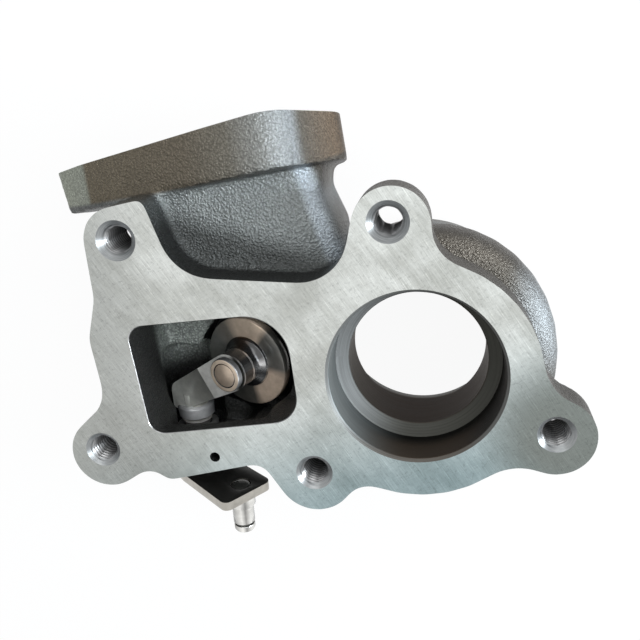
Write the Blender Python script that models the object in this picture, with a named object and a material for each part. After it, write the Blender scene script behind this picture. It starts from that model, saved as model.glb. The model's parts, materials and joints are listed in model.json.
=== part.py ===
"""Turbine housing of a small turbocharger, with its wastegate valve.

The housing is one iron casting: a scroll round the turbine bore, an inlet neck with a square flange,
a wastegate chamber beside the bore, and one flat outlet flange over bore and chamber. The wastegate is
a shaft with a bent arm that turns in a bush, a poppet valve riveted loosely to the arm, and outside
the housing a crank lever with a pin.

The frame: the turbine axis is Z, the origin lies on it in the face towards the bearing housing, and
+Z points out of the outlet. +Y is towards the inlet flange. Lengths below are millimetres and degrees.
"""

import math

import bmesh
import bpy
from mathutils import Matrix, Vector

MM = 0.001
FIT_GAP = 0.3
CUT_PAST = 1.0
WHOLE = 200.0

# Heights above the bearing-housing face
FACE_Z = 54.0
FLANGE_THICK = 12.0
NECK_FRONT_DEPTH = 10.8

# Turbine bore, from the outlet face down
RIM_R = 23.2
RIM_CHAMFER = 0.8
OUTLET_BORE_R = 22.4
OUTLET_TAPER = 0.25
STEP_DEPTH = 13.3
STEP_RISE = 1.6
THROAT_R = 18.6
THROAT_END_DEPTH = 30.5
SHROUD_FLARE = 4.4
NOZZLE_DEPTH = 33.6
NOZZLE_WIDTH = 6.0
NOZZLE_R = 28.0
SPIGOT_R = 27.0
SPIGOT_DEEP = 5.0
SPIGOT_LEDGE = 2.5
BACK_BORE_R = SPIGOT_R - SPIGOT_LEDGE
SHROUD_MIDDLE = (0.35, 0.4)

# Clamp flange towards the bearing housing: its walls round the spigot bore, and its cone
CLAMP_WALL = 4.0
CLAMP_NECK_WALL = 1.6
CLAMP_THICK = 4.0
CLAMP_CONE = 2.4

# Outlet flange: five ears (x, y, radius) and the rings and waists between them
EAR_RIGHT = (35.4, -13.9, 10.2)
EAR_TOP = (-7.4, 38.6, 9.7)
EAR_TOP_LEFT = (-76.4, 32.8, 8.7)
EAR_LEFT = (-83.6, -26.4, 10.0)
EAR_BOTTOM = (-25.7, -28.8, 10.4)
BORE_RING = (0.0, -0.9, 31.7)
LEFT_NOTCH = (-85.6, 17.4, 2.0)
LEFT_CORNER = (-84.6, 6.2, 1.3)
LEFT_RECESS = (-93.0, -8.3, 9.6)
TOP_LEFT_CORNER = (-70.2, 41.4, 1.8)
LOWER_CORNER = (-65.6, -30.1, 3.1)
RECESS_RIGHT = (-30.2, 36.1, 12.4)
RECESS_LEFT = (-52.4, 37.1, 13.2)
LOWER_LEFT_WAIST = (-71.3, -36.6, 5.5)
LOWER_WAIST = (-42.0, -31.6, 4.5)
RIGHT_WAIST_R = 12.0
TOP_WAIST_R = 10.0
BOTTOM_WAIST_R = 7.0
LOWER_RIGHT_WAIST_R = 13.0

# Tapped holes in the ears (x, y, chamfer radius) and their bosses
HOLES = {
    "right": (35.5, -13.0, 4.9),
    "top": (-8.1, 39.5, 5.3),
    "top_left": (-76.6, 32.9, 5.3),
    "left": (-84.6, -25.6, 4.9),
    "bottom": (-25.9, -28.2, 4.9),
}
THREAD_CORE_R = 3.4
BOSS_R = 8.2
BOSS_DEEP = 17.0
JOIN = 1.0
DOWEL_HOLE = (-53.0, -25.6, 1.4)
DOWEL_DEEP = 6.0

# Scroll: the radial and axial half sizes of its passage fall from the start to the tongue
SCROLL_INNER_R = 24.2
SCROLL_WALL = 3.8
SCROLL_DEPTH = 31.5
SCROLL_START = 180.0
SCROLL_END = 472.0
SCROLL_HALF_START = 11.0
SCROLL_HALF_RIGHT = 5.15
SCROLL_HALF_END = 2.1
SCROLL_AXIAL_EXTRA = 3.5
SLEEVE_EXTRA = 2.0
SCROLL_SQUARENESS = 2.4
SCROLL_AXIAL_MAX = 12.5

# Inlet flange: its plane, thickness and outline in its own plane (across, away from the outlet)
INLET_TURN = 12.0
INLET_TILT = 12.0
INLET_HEIGHT = 70.5
INLET_THICK = 13.0
INLET_DRAFT = 4.5
INLET_END_TAPER = 1.9
INLET_END_LONG = 20.0
INLET_CORNERS = [(-23.0, -13.2, 7.0), (-44.0, -6.6, 40.0), (-81.0, 10.8, 2.0), (-92.4, 11.6, 2.0),
                 (-90.0, 34.0, 5.0), (-12.5, 34.0, 8.0), (-9.0, 9.0, 9.0)]
INLET_PORT = (-41.0, 14.0)
INLET_PORT_HALF = (15.0, 11.0)
INLET_PORT_SQUARENESS = 4.5
INLET_BOLTS = [(-80.0, 20.5), (-64.5, 12.0), (-25.5, -1.5), (-19.5, 26.0)]
INLET_BOLT_R = 3.4
INLET_BOLT_DEEP = 9.0

# Inlet neck: its outside in the inlet flange (across, depth, half sizes), then stations of
# (height y, centre x, half width, squareness)
NECK_TOP = (-39.0, 14.0, 25.5, 15.5)
NECK_STATIONS = [(43.0, -51.0, 25.2, 5.0), (34.0, -47.7, 26.5, 5.0), (22.0, -41.5, 22.0, 4.5),
                 (-6.0, -37.0, 15.0, 2.6)]
NECK_SQUARENESS = 5.0
NECK_BACK_DEPTH = 46.0
# Its passage below the flange: stations of (height y, squareness, extra half size)
PORT_STATIONS = [(24.0, 3.2, 0.0), (2.0, 2.4, 0.2), (-4.0, 2.4, -1.5)]

# Wastegate chamber: mouth in the outlet face (x, y, corner radius)
CHAMBER_CORNERS = [(-37.6, -7.6, 7.0), (-43.6, 2.8, 11.5), (-70.9, 6.5, 4.1), (-67.0, -15.4, 4.1)]
CHAMBER_WALL = 5.5
CHAMBER_FLOOR_DEPTH = 26.0
CHAMBER_BODY_DEPTH = 42.0
CHAMBER_WALL_EXTRA = 4.0
CHAMBER_UNDERCUT_Y = -26.0
CHAMBER_UNDERCUT_SIDE = 1.5
CHAMBER_LIP = 5.5
CHAMBER_LIP_Y = -18.6
SWING_ROOM_Y = -20.6
SWING_LIP_Y = -16.4
SWING_ROOM_X = -40.0
ROOM_BACK_Y = -10.0

# Wastegate valve: where its face stands and how it leans
VALVE_X = -49.0
VALVE_Y = -6.0
VALVE_DEPTH = 22.0
VALVE_TURN = 23.8
VALVE_LEAN = 6.1
VALVE_R = 13.4
VALVE_THICK = 3.0
VALVE_BEVEL = 0.5
VALVE_BOSS_R = 7.5
VALVE_NECK_R = 4.9
VALVE_BOSS_HIGH = 3.2
VALVE_BOSS_EDGE = 0.6
VALVE_NECK_FLARE = 0.7
STUD_R = 3.4
SEAT_R = 15.2
SEAT_RIM = 2.4
SEAT_CLEAR = 6.0
PORT_R = 9.6
PORT_DEEP = 12.0

# Wastegate shaft, arm and lever, in the frame of the shaft
ARM_REACH = 16.7
ARM_RISE = 10.5
SHAFT_ABOVE_FACE = 5.0
SHAFT_R = 4.0
ARM_EYE_R = 5.6
ARM_EYE_BORE_R = 3.8
ARM_LOW = -1.5
ARM_HIGH = 3.2
ARM_ROOT_LOW = -4.0
ARM_ROOT_HIGH = 4.4
ARM_FACET = 11.4
ARM_FACET_TILT = 4.0
ARM_STEP = 8.0
ARM_ROOT = [(-1.6, 9.9, 3.6), (-3.7, 14.2, 1.3), (0.2, 12.9, 1.6)]
HUB_R = 5.5
HUB_FROM = 14.2
HUB_TO = 18.2
HUB_BEVEL = 0.5
COLLAR_R = 4.6
COLLAR_TO = 19.3
WASHER_R = 5.05
WASHER_THICK = 1.8
WASHER_BEVEL = 0.3
BUSH_R = 6.2
BUSH_FROM = 20.9
BUSH_TO = 35.2
BUSH_CHAMFER = 0.6
POCKET_R = 8.6
POCKET_TOP = 3.0
BUSH_BOSS_R = 9.6
BUSH_BOSS_FROM = 22.3
BUSH_BOSS_TO = 34.4
BUSH_BOSS_ROOT = 4.0
LEVER_FROM = 35.9
LEVER_THICK = 2.7
LEVER_TURN = 16.3
LEVER_REACH = 17.7
LEVER_PIN_ASIDE = -1.0
LEVER_END = 23.0
LEVER_HALF = 8.4
LEVER_ROOT_R = 7.9
LEVER_CORNER_R = 2.2
SHAFT_PAST_LEVER = 0.9
PIN_R = 3.2
PIN_COLLAR_R = 3.9
PIN_COLLAR_LONG = 3.4
PIN_LONG = 12.4
PIN_GROOVE_R = 2.7
PIN_GROOVE_FROM = 9.5
PIN_GROOVE_LONG = 0.9
PIN_TAIL_R = 3.1
PIN_BEVEL = 0.5

FINE = 64
ROUND = 40
SMALL = 24
TINY = 16
RING_POINTS = 28
ARC_STEP = 12.0
SMALL_ARC_STEP = 15.0
SHARP_ANGLE = 32.0
SCROLL_STATIONS = 26
IRON = ((0.16, 0.16, 0.155), 0.55, 0.8)
STEEL = ((0.42, 0.41, 0.39), 0.32, 0.95)
BRIGHT = ((0.62, 0.61, 0.58), 0.22, 1.0)


def clear_scene():
    for item in list(bpy.data.objects):
        bpy.data.objects.remove(item, do_unlink=True)


def material(name, look):
    colour, roughness, metallic = look
    made = bpy.data.materials.new(name)
    made.use_nodes = True
    shader = made.node_tree.nodes["Principled BSDF"]
    shader.inputs["Base Color"].default_value = (*colour, 1.0)
    shader.inputs["Roughness"].default_value = roughness
    shader.inputs["Metallic"].default_value = metallic
    return made


def link_mesh(name, points, faces, matrix=None):
    """A new object from points in millimetres, with its faces turned outwards."""
    mesh = bpy.data.meshes.new(name)
    mesh.from_pydata([tuple(p) for p in points], [], faces)
    work = bmesh.new()
    work.from_mesh(mesh)
    bmesh.ops.recalc_face_normals(work, faces=work.faces)
    if work.calc_volume(signed=True) < 0.0:
        bmesh.ops.reverse_faces(work, faces=work.faces)
    work.to_mesh(mesh)
    work.free()
    made = bpy.data.objects.new(name, mesh)
    bpy.context.scene.collection.objects.link(made)
    if matrix is not None:
        mesh.transform(matrix)
    return made


def loft(name, rings, matrix=None):
    """A closed solid through rings of equally many points, capped at both ends."""
    count = len(rings[0])
    points = [p for ring in rings for p in ring]
    faces = [list(range(count))[::-1]]
    for k in range(len(rings) - 1):
        low = k * count
        for i in range(count):
            j = (i + 1) % count
            faces.append([low + i, low + j, low + count + j, low + count + i])
    faces.append([(len(rings) - 1) * count + i for i in range(count)])
    return link_mesh(name, points, faces, matrix)


def prism(name, outline, low, high, matrix=None):
    return loft(name, [[(x, y, low) for x, y in outline], [(x, y, high) for x, y in outline]], matrix)


def turned(name, profile, steps=ROUND, matrix=None):
    """A solid turned about Z from a profile of (radius, height), closed on the axis."""
    points = []
    rows = []
    for radius, height in profile:
        if radius == 0.0:
            rows.append([len(points)])
            points.append((0.0, 0.0, height))
            continue
        rows.append(list(range(len(points), len(points) + steps)))
        for i in range(steps):
            angle = 2.0 * math.pi * i / steps
            points.append((radius * math.cos(angle), radius * math.sin(angle), height))
    faces = []
    closed = profile[0][0] != 0.0
    pairs = list(zip(rows, rows[1:] + rows[:1])) if closed else list(zip(rows, rows[1:]))
    for low, high in pairs:
        for i in range(steps):
            j = (i + 1) % steps
            if len(low) == 1:
                faces.append([low[0], high[i], high[j]])
            elif len(high) == 1:
                faces.append([low[i], low[j], high[0]])
            else:
                faces.append([low[i], low[j], high[j], high[i]])
    return link_mesh(name, points, faces, matrix)


def rod(name, radius, low, high, steps=ROUND, matrix=None):
    return turned(name, [(0.0, low), (radius, low), (radius, high), (0.0, high)], steps, matrix)


def block(name, low, high, matrix=None):
    outline = [(low[0], low[1]), (high[0], low[1]), (high[0], high[1]), (low[0], high[1])]
    return prism(name, outline, low[2], high[2], matrix)


def boolean(target, tool, operation):
    """Adds or cuts the tool and removes it."""
    step = target.modifiers.new(operation.lower(), "BOOLEAN")
    step.operation = operation
    step.solver = "MANIFOLD"
    step.object = tool
    graph = bpy.context.evaluated_depsgraph_get()
    result = bpy.data.meshes.new_from_object(target.evaluated_get(graph))
    target.modifiers.clear()
    target.data = result
    bpy.data.objects.remove(tool, do_unlink=True)


def add(target, tool):
    boolean(target, tool, "UNION")


def cut(target, tool):
    boolean(target, tool, "DIFFERENCE")


def keep(target, tool):
    boolean(target, tool, "INTERSECT")


def waist(first, second, radius):
    """The hollow arc that touches two ears from outside, on the right of the way between them."""
    start = Vector(first[:2])
    way = Vector(second[:2]) - start
    to_first = first[2] + radius
    to_second = second[2] + radius
    along = (to_first ** 2 - to_second ** 2 + way.length_squared) / (2.0 * way.length)
    aside = math.sqrt(max(to_first ** 2 - along ** 2, 0.0))
    unit = way.normalized()
    centre = start + unit * along + Vector((unit.y, -unit.x)) * aside
    return (centre.x, centre.y, -radius)


def belt(circles, step=ARC_STEP):
    """The outline that runs counter-clockwise round the circles; a negative radius is a hollow arc."""
    count = len(circles)
    left = []
    for i in range(count):
        x0, y0, r0 = circles[i]
        x1, y1, r1 = circles[(i + 1) % count]
        way = Vector((x1 - x0, y1 - y0))
        turn = math.acos(max(-1.0, min(1.0, (r1 - r0) / way.length)))
        left.append(math.atan2(way.y, way.x) + turn)
    outline = []
    for i in range(count):
        x, y, r = circles[i]
        begin = left[i - 1]
        sweep = left[i] - begin
        full = 2.0 * math.pi
        sweep = sweep % full if r > 0.0 else -((-sweep) % full)
        pieces = max(1, math.ceil(abs(math.degrees(sweep)) / step))
        for k in range(pieces + 1):
            angle = begin + sweep * k / pieces
            outline.append((x - r * math.cos(angle), y - r * math.sin(angle)))
    return tidy(outline)


def tidy(outline, closest=0.05):
    kept = []
    for point in outline:
        if not kept or math.dist(point, kept[-1]) > closest:
            kept.append(point)
    if math.dist(kept[0], kept[-1]) <= closest:
        kept.pop()
    return kept


def hollow(circle):
    return (circle[0], circle[1], -circle[2])


def outlet_outline():
    return belt([
        EAR_RIGHT,
        waist(EAR_RIGHT, BORE_RING, RIGHT_WAIST_R),
        BORE_RING,
        waist(BORE_RING, EAR_TOP, TOP_WAIST_R),
        EAR_TOP,
        hollow(RECESS_RIGHT),
        hollow(RECESS_LEFT),
        TOP_LEFT_CORNER,
        EAR_TOP_LEFT,
        hollow(LEFT_NOTCH),
        LEFT_CORNER,
        hollow(LEFT_RECESS),
        EAR_LEFT,
        hollow(LOWER_LEFT_WAIST),
        LOWER_CORNER,
        hollow(LOWER_WAIST),
        EAR_BOTTOM,
        waist(EAR_BOTTOM, BORE_RING, BOTTOM_WAIST_R),
        BORE_RING,
        waist(BORE_RING, EAR_RIGHT, LOWER_RIGHT_WAIST_R),
    ])


def squircle(centre, across, half_across, along, half_along, power, count=RING_POINTS):
    """A ring between an ellipse (power 2) and a rounded rectangle (power 5)."""
    ring = []
    for i in range(count):
        angle = 2.0 * math.pi * i / count
        c, s = math.cos(angle), math.sin(angle)
        u = math.copysign(abs(c) ** (2.0 / power), c) * half_across
        v = math.copysign(abs(s) ** (2.0 / power), s) * half_along
        ring.append(tuple(Vector(centre) + Vector(across) * u + Vector(along) * v))
    return ring


def scroll_half(angle):
    """Half the radial size of the passage at an angle round the axis."""
    if angle <= 360.0:
        share = (360.0 - angle) / (360.0 - SCROLL_START)
        return SCROLL_HALF_RIGHT + (SCROLL_HALF_START - SCROLL_HALF_RIGHT) * share
    share = (angle - 360.0) / (SCROLL_END - 360.0)
    return SCROLL_HALF_RIGHT + (SCROLL_HALF_END - SCROLL_HALF_RIGHT) * share


def scroll(name, wall, start=SCROLL_START, end=SCROLL_END):
    rings = []
    for k in range(SCROLL_STATIONS + 1):
        angle = start + (end - start) * k / SCROLL_STATIONS
        half = scroll_half(angle)
        turn = math.radians(angle)
        outward = Vector((math.cos(turn), math.sin(turn), 0.0))
        centre = outward * (SCROLL_INNER_R + half)
        centre.z = FACE_Z - SCROLL_DEPTH
        axial = min(half + SCROLL_AXIAL_EXTRA, SCROLL_AXIAL_MAX)
        rings.append(squircle(centre, outward, half + wall, (0.0, 0.0, 1.0), axial + wall,
                              SCROLL_SQUARENESS))
    return loft(name, rings)


def inlet_frame():
    """Across, into the depth and out of the inlet face, with the origin on the turbine axis."""
    turn = Matrix.Rotation(math.radians(INLET_TURN), 4, "Z")
    tilt = Matrix.Rotation(math.radians(-INLET_TILT), 4, "X")
    axes = Matrix(((1, 0, 0, 0), (0, 0, 1, 0), (0, -1, 0, 0), (0, 0, 0, 1)))
    base = Matrix.Translation(Vector((0.0, 0.0, FACE_Z)))
    return base @ turn @ tilt @ axes @ Matrix.Translation(Vector((0.0, 0.0, INLET_HEIGHT)))


def rounded(corners):
    """Turns sharp corners with a fillet radius into belt circles, for a convex outline."""
    centre = Vector((sum(c[0] for c in corners), sum(c[1] for c in corners))) / len(corners)
    turns = sorted(corners, key=lambda c: math.atan2(c[1] - centre.y, c[0] - centre.x))
    circles = []
    for i, (x, y, r) in enumerate(turns):
        here = Vector((x, y))
        back = (Vector(turns[i - 1][:2]) - here).normalized()
        ahead = (Vector(turns[(i + 1) % len(turns)][:2]) - here).normalized()
        half = back.angle(ahead) / 2.0
        middle = here + (back + ahead).normalized() * (r / math.sin(half))
        circles.append((middle.x, middle.y, r))
    return circles


def neck_rings():
    """Stations of the inlet neck from the middle of the inlet flange down to the scroll."""
    x, y, half, half_depth = NECK_TOP
    rings = [inlet_ring((x, y), -INLET_THICK / 2.0, half, half_depth, NECK_SQUARENESS)]
    depth_mid = (NECK_FRONT_DEPTH + NECK_BACK_DEPTH) / 2.0
    half_depth = (NECK_BACK_DEPTH - NECK_FRONT_DEPTH) / 2.0
    for height, centre_x, half, power in NECK_STATIONS:
        centre = (centre_x, height, FACE_Z - depth_mid)
        rings.append(squircle(centre, (1, 0, 0), half, (0, 0, -1), half_depth, power))
    return rings


def inlet_ring(centre, out, half_across, half_depth, power):
    """A ring parallel to the inlet face, a distance out of it."""
    frame = inlet_frame()
    axes = frame.to_3x3()
    middle = frame @ Vector((*centre, out))
    return squircle(middle, axes.col[0], half_across, axes.col[1], half_depth, power)


def port_rings():
    """The gas passage from the inlet face to the start of the scroll."""
    rings = []
    for out in (CUT_PAST, -INLET_THICK):
        rings.append(inlet_ring(INLET_PORT, out, *INLET_PORT_HALF, INLET_PORT_SQUARENESS))
    high = inlet_frame() @ Vector((*INLET_PORT, -INLET_THICK))
    low = Vector((-SCROLL_INNER_R - SCROLL_HALF_START, 0.0, FACE_Z - SCROLL_DEPTH))
    for height, power, grow in PORT_STATIONS:
        share = max(0.0, height / high.y)
        centre = low.lerp(high, share)
        centre.y = height
        half = SCROLL_HALF_START + (INLET_PORT_HALF[0] - SCROLL_HALF_START) * share + grow
        axial = SCROLL_AXIAL_MAX - share + grow
        rings.append(squircle(centre, (1, 0, 0), half, (0, 0, -1), axial, power))
    return rings


def valve_frame():
    """The valve's own axes: Z out of the seat, Y up the shaft; the origin is on the valve face."""
    place = Matrix.Translation(Vector((VALVE_X, VALVE_Y, FACE_Z - VALVE_DEPTH)))
    turn = Matrix.Rotation(math.radians(-VALVE_TURN), 4, "Y")
    lean = Matrix.Rotation(math.radians(VALVE_LEAN), 4, "X")
    return place @ turn @ lean


def shaft_frame():
    """The same axes with the origin on the shaft, level with the middle of the valve."""
    return valve_frame() @ Matrix.Translation(Vector((-ARM_REACH, 0.0, SHAFT_ABOVE_FACE)))


def down_the_shaft():
    """Turns Z of a turned piece to run down the shaft, away from the valve."""
    return Matrix.Rotation(math.radians(90.0), 4, "X")


def casting_outside():
    body = prism("turbine_housing", outlet_outline(), FACE_Z - FLANGE_THICK, FACE_Z)
    sleeve_low = FACE_Z - SCROLL_DEPTH - JOIN
    add(body, rod("bore_sleeve", SCROLL_INNER_R + SLEEVE_EXTRA, sleeve_low, FACE_Z - JOIN, FINE))
    add(body, scroll("scroll_outside", SCROLL_WALL))
    clamp_r = SPIGOT_R + CLAMP_WALL
    neck_r = SPIGOT_R + CLAMP_NECK_WALL
    clamp = [
        (0.0, 0.0),
        (clamp_r, 0.0),
        (clamp_r, CLAMP_THICK),
        (neck_r, CLAMP_THICK + CLAMP_CONE),
        (neck_r, FACE_Z - SCROLL_DEPTH),
        (0.0, FACE_Z - SCROLL_DEPTH),
    ]
    add(body, turned("clamp_flange", clamp, FINE))
    wall = [(x, y, r + CHAMBER_WALL) for x, y, r in CHAMBER_CORNERS]
    wall[3] = (wall[3][0], CHAMBER_UNDERCUT_Y + CHAMBER_CORNERS[3][2], wall[3][2])
    wall[0] = (wall[0][0], wall[0][1] - CHAMBER_WALL_EXTRA, wall[0][2])
    add(body, prism("chamber_body", belt(wall), FACE_Z - CHAMBER_BODY_DEPTH, FACE_Z - JOIN))
    add(body, loft("inlet_neck", neck_rings()))
    add(body, inlet_flange())
    for name, (x, y, _) in HOLES.items():
        place = Matrix.Translation(Vector((x, y, 0.0)))
        add(body, rod("boss_" + name, BOSS_R, FACE_Z - BOSS_DEEP, FACE_Z - JOIN, SMALL, place))
    down = shaft_frame() @ down_the_shaft()
    add(body, rod("bush_boss", BUSH_BOSS_R, BUSH_BOSS_FROM - BUSH_BOSS_ROOT, BUSH_BOSS_TO, ROUND, down))
    return body


def inlet_flange():
    frame = inlet_frame()
    outline = belt(rounded(INLET_CORNERS))
    draft = math.tan(math.radians(INLET_DRAFT))
    end = min(x for x, _ in outline)
    top = [(x, y, 0.0) for x, y in outline]
    low = []
    for x, y in outline:
        near_end = max(0.0, 1.0 - (x - end) / INLET_END_LONG)
        low.append((x + INLET_END_TAPER * near_end, y, -INLET_THICK + draft * y))
    return loft("inlet_flange", [low, top], frame)


def bore_cutter():
    """The bore from outlet to bearing side, with the ring gap that opens the scroll to the wheel."""
    share, lower = SHROUD_MIDDLE
    deep = [
        (0.0, CUT_PAST),
        (RIM_R + CUT_PAST, CUT_PAST),
        (RIM_R, 0.0),
        (OUTLET_BORE_R, -RIM_CHAMFER),
        (OUTLET_BORE_R - OUTLET_TAPER, -STEP_DEPTH),
        (THROAT_R, -STEP_DEPTH - STEP_RISE),
        (THROAT_R, -THROAT_END_DEPTH),
        (THROAT_R + SHROUD_FLARE * share, -(THROAT_END_DEPTH + NOZZLE_DEPTH) / 2.0 - lower),
        (THROAT_R + SHROUD_FLARE, -NOZZLE_DEPTH),
        (NOZZLE_R, -NOZZLE_DEPTH),
        (NOZZLE_R, -NOZZLE_DEPTH - NOZZLE_WIDTH),
        (BACK_BORE_R, -NOZZLE_DEPTH - NOZZLE_WIDTH),
        (BACK_BORE_R, SPIGOT_DEEP - FACE_Z),
        (SPIGOT_R, SPIGOT_DEEP - FACE_Z),
        (SPIGOT_R, -FACE_Z - CUT_PAST),
        (0.0, -FACE_Z - CUT_PAST),
    ]
    return turned("bore", [(r, FACE_Z + z) for r, z in deep], FINE)


def chamber_cutters():
    """The chamber: its mouth down to a floor that slopes with the seat, and the room for the arm."""
    valve = valve_frame()
    floor_z = -VALVE_THICK - FIT_GAP + SEAT_RIM
    mouth = prism("chamber", belt(CHAMBER_CORNERS), FACE_Z - CHAMBER_FLOOR_DEPTH, FACE_Z + CUT_PAST)
    keep(mouth, block("in_front_of_seat", (-WHOLE, -WHOLE, floor_z), (WHOLE, WHOLE, WHOLE), valve))
    yield mouth
    seat_z = -VALVE_THICK - FIT_GAP
    yield rod("seat_face", SEAT_R, seat_z, SEAT_RIM + SEAT_CLEAR, FINE, valve)
    yield rod("wastegate_port", PORT_R, seat_z - PORT_DEEP, seat_z + CUT_PAST, ROUND, valve)
    down = shaft_frame() @ down_the_shaft()
    yield rod("arm_pocket", POCKET_R, -POCKET_TOP, BUSH_BOSS_FROM, ROUND, down)
    yield undercut("undercut", CHAMBER_CORNERS[3][0] - CHAMBER_UNDERCUT_SIDE, VALVE_X, CHAMBER_LIP_Y,
                   CHAMBER_UNDERCUT_Y)
    yield undercut("swing_room", VALVE_X - CUT_PAST, SWING_ROOM_X, SWING_LIP_Y, SWING_ROOM_Y)


def undercut(name, low_x, high_x, lip_y, wall_y):
    """Room under the lower lip of the chamber's mouth; its roof slopes, as cast."""
    near = FACE_Z - CHAMBER_LIP
    far = FACE_Z - CHAMBER_FLOOR_DEPTH
    side = [(lip_y, near), (wall_y, near + wall_y - lip_y), (wall_y, far), (ROOM_BACK_Y, far),
            (ROOM_BACK_Y, near)]
    return loft(name, [[(low_x, y, z) for y, z in side], [(high_x, y, z) for y, z in side]])


def drilled_cutters():
    for name, (x, y, rim) in HOLES.items():
        place = Matrix.Translation(Vector((x, y, FACE_Z)))
        chamfer = rim - THREAD_CORE_R
        shape = [
            (0.0, CUT_PAST),
            (rim + CUT_PAST, CUT_PAST),
            (THREAD_CORE_R, -chamfer),
            (THREAD_CORE_R, -BOSS_DEEP - CUT_PAST),
            (0.0, -BOSS_DEEP - CUT_PAST),
        ]
        yield turned("hole_" + name, shape, SMALL, place)
    x, y, r = DOWEL_HOLE
    place = Matrix.Translation(Vector((x, y, FACE_Z)))
    yield rod("dowel_hole", r, -DOWEL_DEEP, CUT_PAST, TINY, place)
    frame = inlet_frame()
    for k, (x, y) in enumerate(INLET_BOLTS):
        place = frame @ Matrix.Translation(Vector((x, y, 0.0)))
        yield rod("inlet_bolt_" + str(k), INLET_BOLT_R, -INLET_BOLT_DEEP, CUT_PAST, SMALL, place)


def make_housing():
    body = casting_outside()
    cut(body, bore_cutter())
    cut(body, scroll("scroll_passage", 0.0))
    cut(body, loft("inlet_passage", port_rings()))
    for tool in chamber_cutters():
        cut(body, tool)
    for tool in drilled_cutters():
        cut(body, tool)
    down = shaft_frame() @ down_the_shaft()
    cut(body, rod("bush_bore", BUSH_R + FIT_GAP, BUSH_BOSS_FROM - CUT_PAST, BUSH_BOSS_TO + CUT_PAST,
                  ROUND, down))
    return body


def make_bush():
    inner = SHAFT_R + FIT_GAP
    shape = [
        (inner, BUSH_FROM),
        (BUSH_R - BUSH_CHAMFER, BUSH_FROM),
        (BUSH_R, BUSH_FROM + BUSH_CHAMFER),
        (BUSH_R, BUSH_TO - BUSH_CHAMFER),
        (BUSH_R - BUSH_CHAMFER, BUSH_TO),
        (inner, BUSH_TO),
    ]
    return turned("wastegate_bush", shape, ROUND, down_the_shaft())


def make_arm():
    """Shaft, hub and bent arm with its eye, one forging; the arm's root is thicker than its eye."""
    eye = (ARM_REACH, 0.0)
    outline = belt([(*eye, ARM_EYE_R)] + [(x, -y, r) for x, y, r in ARM_ROOT], SMALL_ARC_STEP)
    arm = prism("wastegate_arm", outline, ARM_ROOT_LOW, ARM_ROOT_HIGH)
    turn = Matrix.Rotation(math.atan2(ARM_RISE, ARM_REACH), 4, "Z")
    along = Matrix.Translation(Vector((*eye, 0.0))) @ turn
    facet = Matrix.Translation(Vector((-ARM_FACET, 0.0, ARM_HIGH)))
    tilt = Matrix.Rotation(math.radians(ARM_FACET_TILT), 4, "Y")
    cut(arm, block("over_eye", (0.0, -WHOLE, 0.0), (WHOLE, WHOLE, WHOLE), along @ facet))
    cut(arm, block("over_root", (-WHOLE, -WHOLE, 0.0), (CUT_PAST, WHOLE, WHOLE),
                   along @ facet @ tilt))
    cut(arm, block("under_eye", (-ARM_STEP, -WHOLE, -WHOLE), (WHOLE, WHOLE, ARM_LOW), along))
    end = LEVER_FROM + LEVER_THICK + SHAFT_PAST_LEVER
    hub = [
        (0.0, ARM_RISE),
        (SHAFT_R, ARM_RISE),
        (SHAFT_R, HUB_FROM),
        (HUB_R - HUB_BEVEL, HUB_FROM),
        (HUB_R, HUB_FROM + HUB_BEVEL),
        (HUB_R, HUB_TO - HUB_BEVEL),
        (HUB_R - HUB_BEVEL, HUB_TO),
        (COLLAR_R, HUB_TO),
        (COLLAR_R, COLLAR_TO),
        (SHAFT_R, COLLAR_TO),
        (SHAFT_R, end),
        (0.0, end),
    ]
    add(arm, turned("shaft", hub, ROUND, down_the_shaft()))
    hole = Matrix.Translation(Vector((*eye, 0.0)))
    cut(arm, rod("eye_bore", ARM_EYE_BORE_R, ARM_LOW - CUT_PAST, ARM_HIGH + CUT_PAST, SMALL, hole))
    return arm


def make_valve():
    """Poppet disc with its boss and stud, turned; the origin is in the middle of its front face."""
    top = SHAFT_ABOVE_FACE + ARM_HIGH + FIT_GAP + WASHER_THICK
    shape = [
        (0.0, -VALVE_THICK),
        (VALVE_R - VALVE_BEVEL, -VALVE_THICK),
        (VALVE_R, -VALVE_THICK + VALVE_BEVEL),
        (VALVE_R, -VALVE_BEVEL),
        (VALVE_R - VALVE_BEVEL, 0.0),
        (VALVE_BOSS_R, 0.0),
        (VALVE_BOSS_R - VALVE_BOSS_EDGE, VALVE_BOSS_EDGE),
        (VALVE_NECK_R + VALVE_NECK_FLARE, VALVE_BOSS_HIGH / 2.0),
        (VALVE_NECK_R, VALVE_BOSS_HIGH),
        (STUD_R, VALVE_BOSS_HIGH),
        (STUD_R, top),
        (0.0, top),
    ]
    return turned("wastegate_valve", shape, ROUND)


def make_washer():
    low = SHAFT_ABOVE_FACE + ARM_HIGH + FIT_GAP
    inner = STUD_R + FIT_GAP
    high = low + WASHER_THICK
    shape = [(inner, low), (WASHER_R, low), (WASHER_R, high - WASHER_BEVEL),
             (WASHER_R - WASHER_BEVEL, high), (inner, high)]
    return turned("valve_washer", shape, ROUND)


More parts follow.
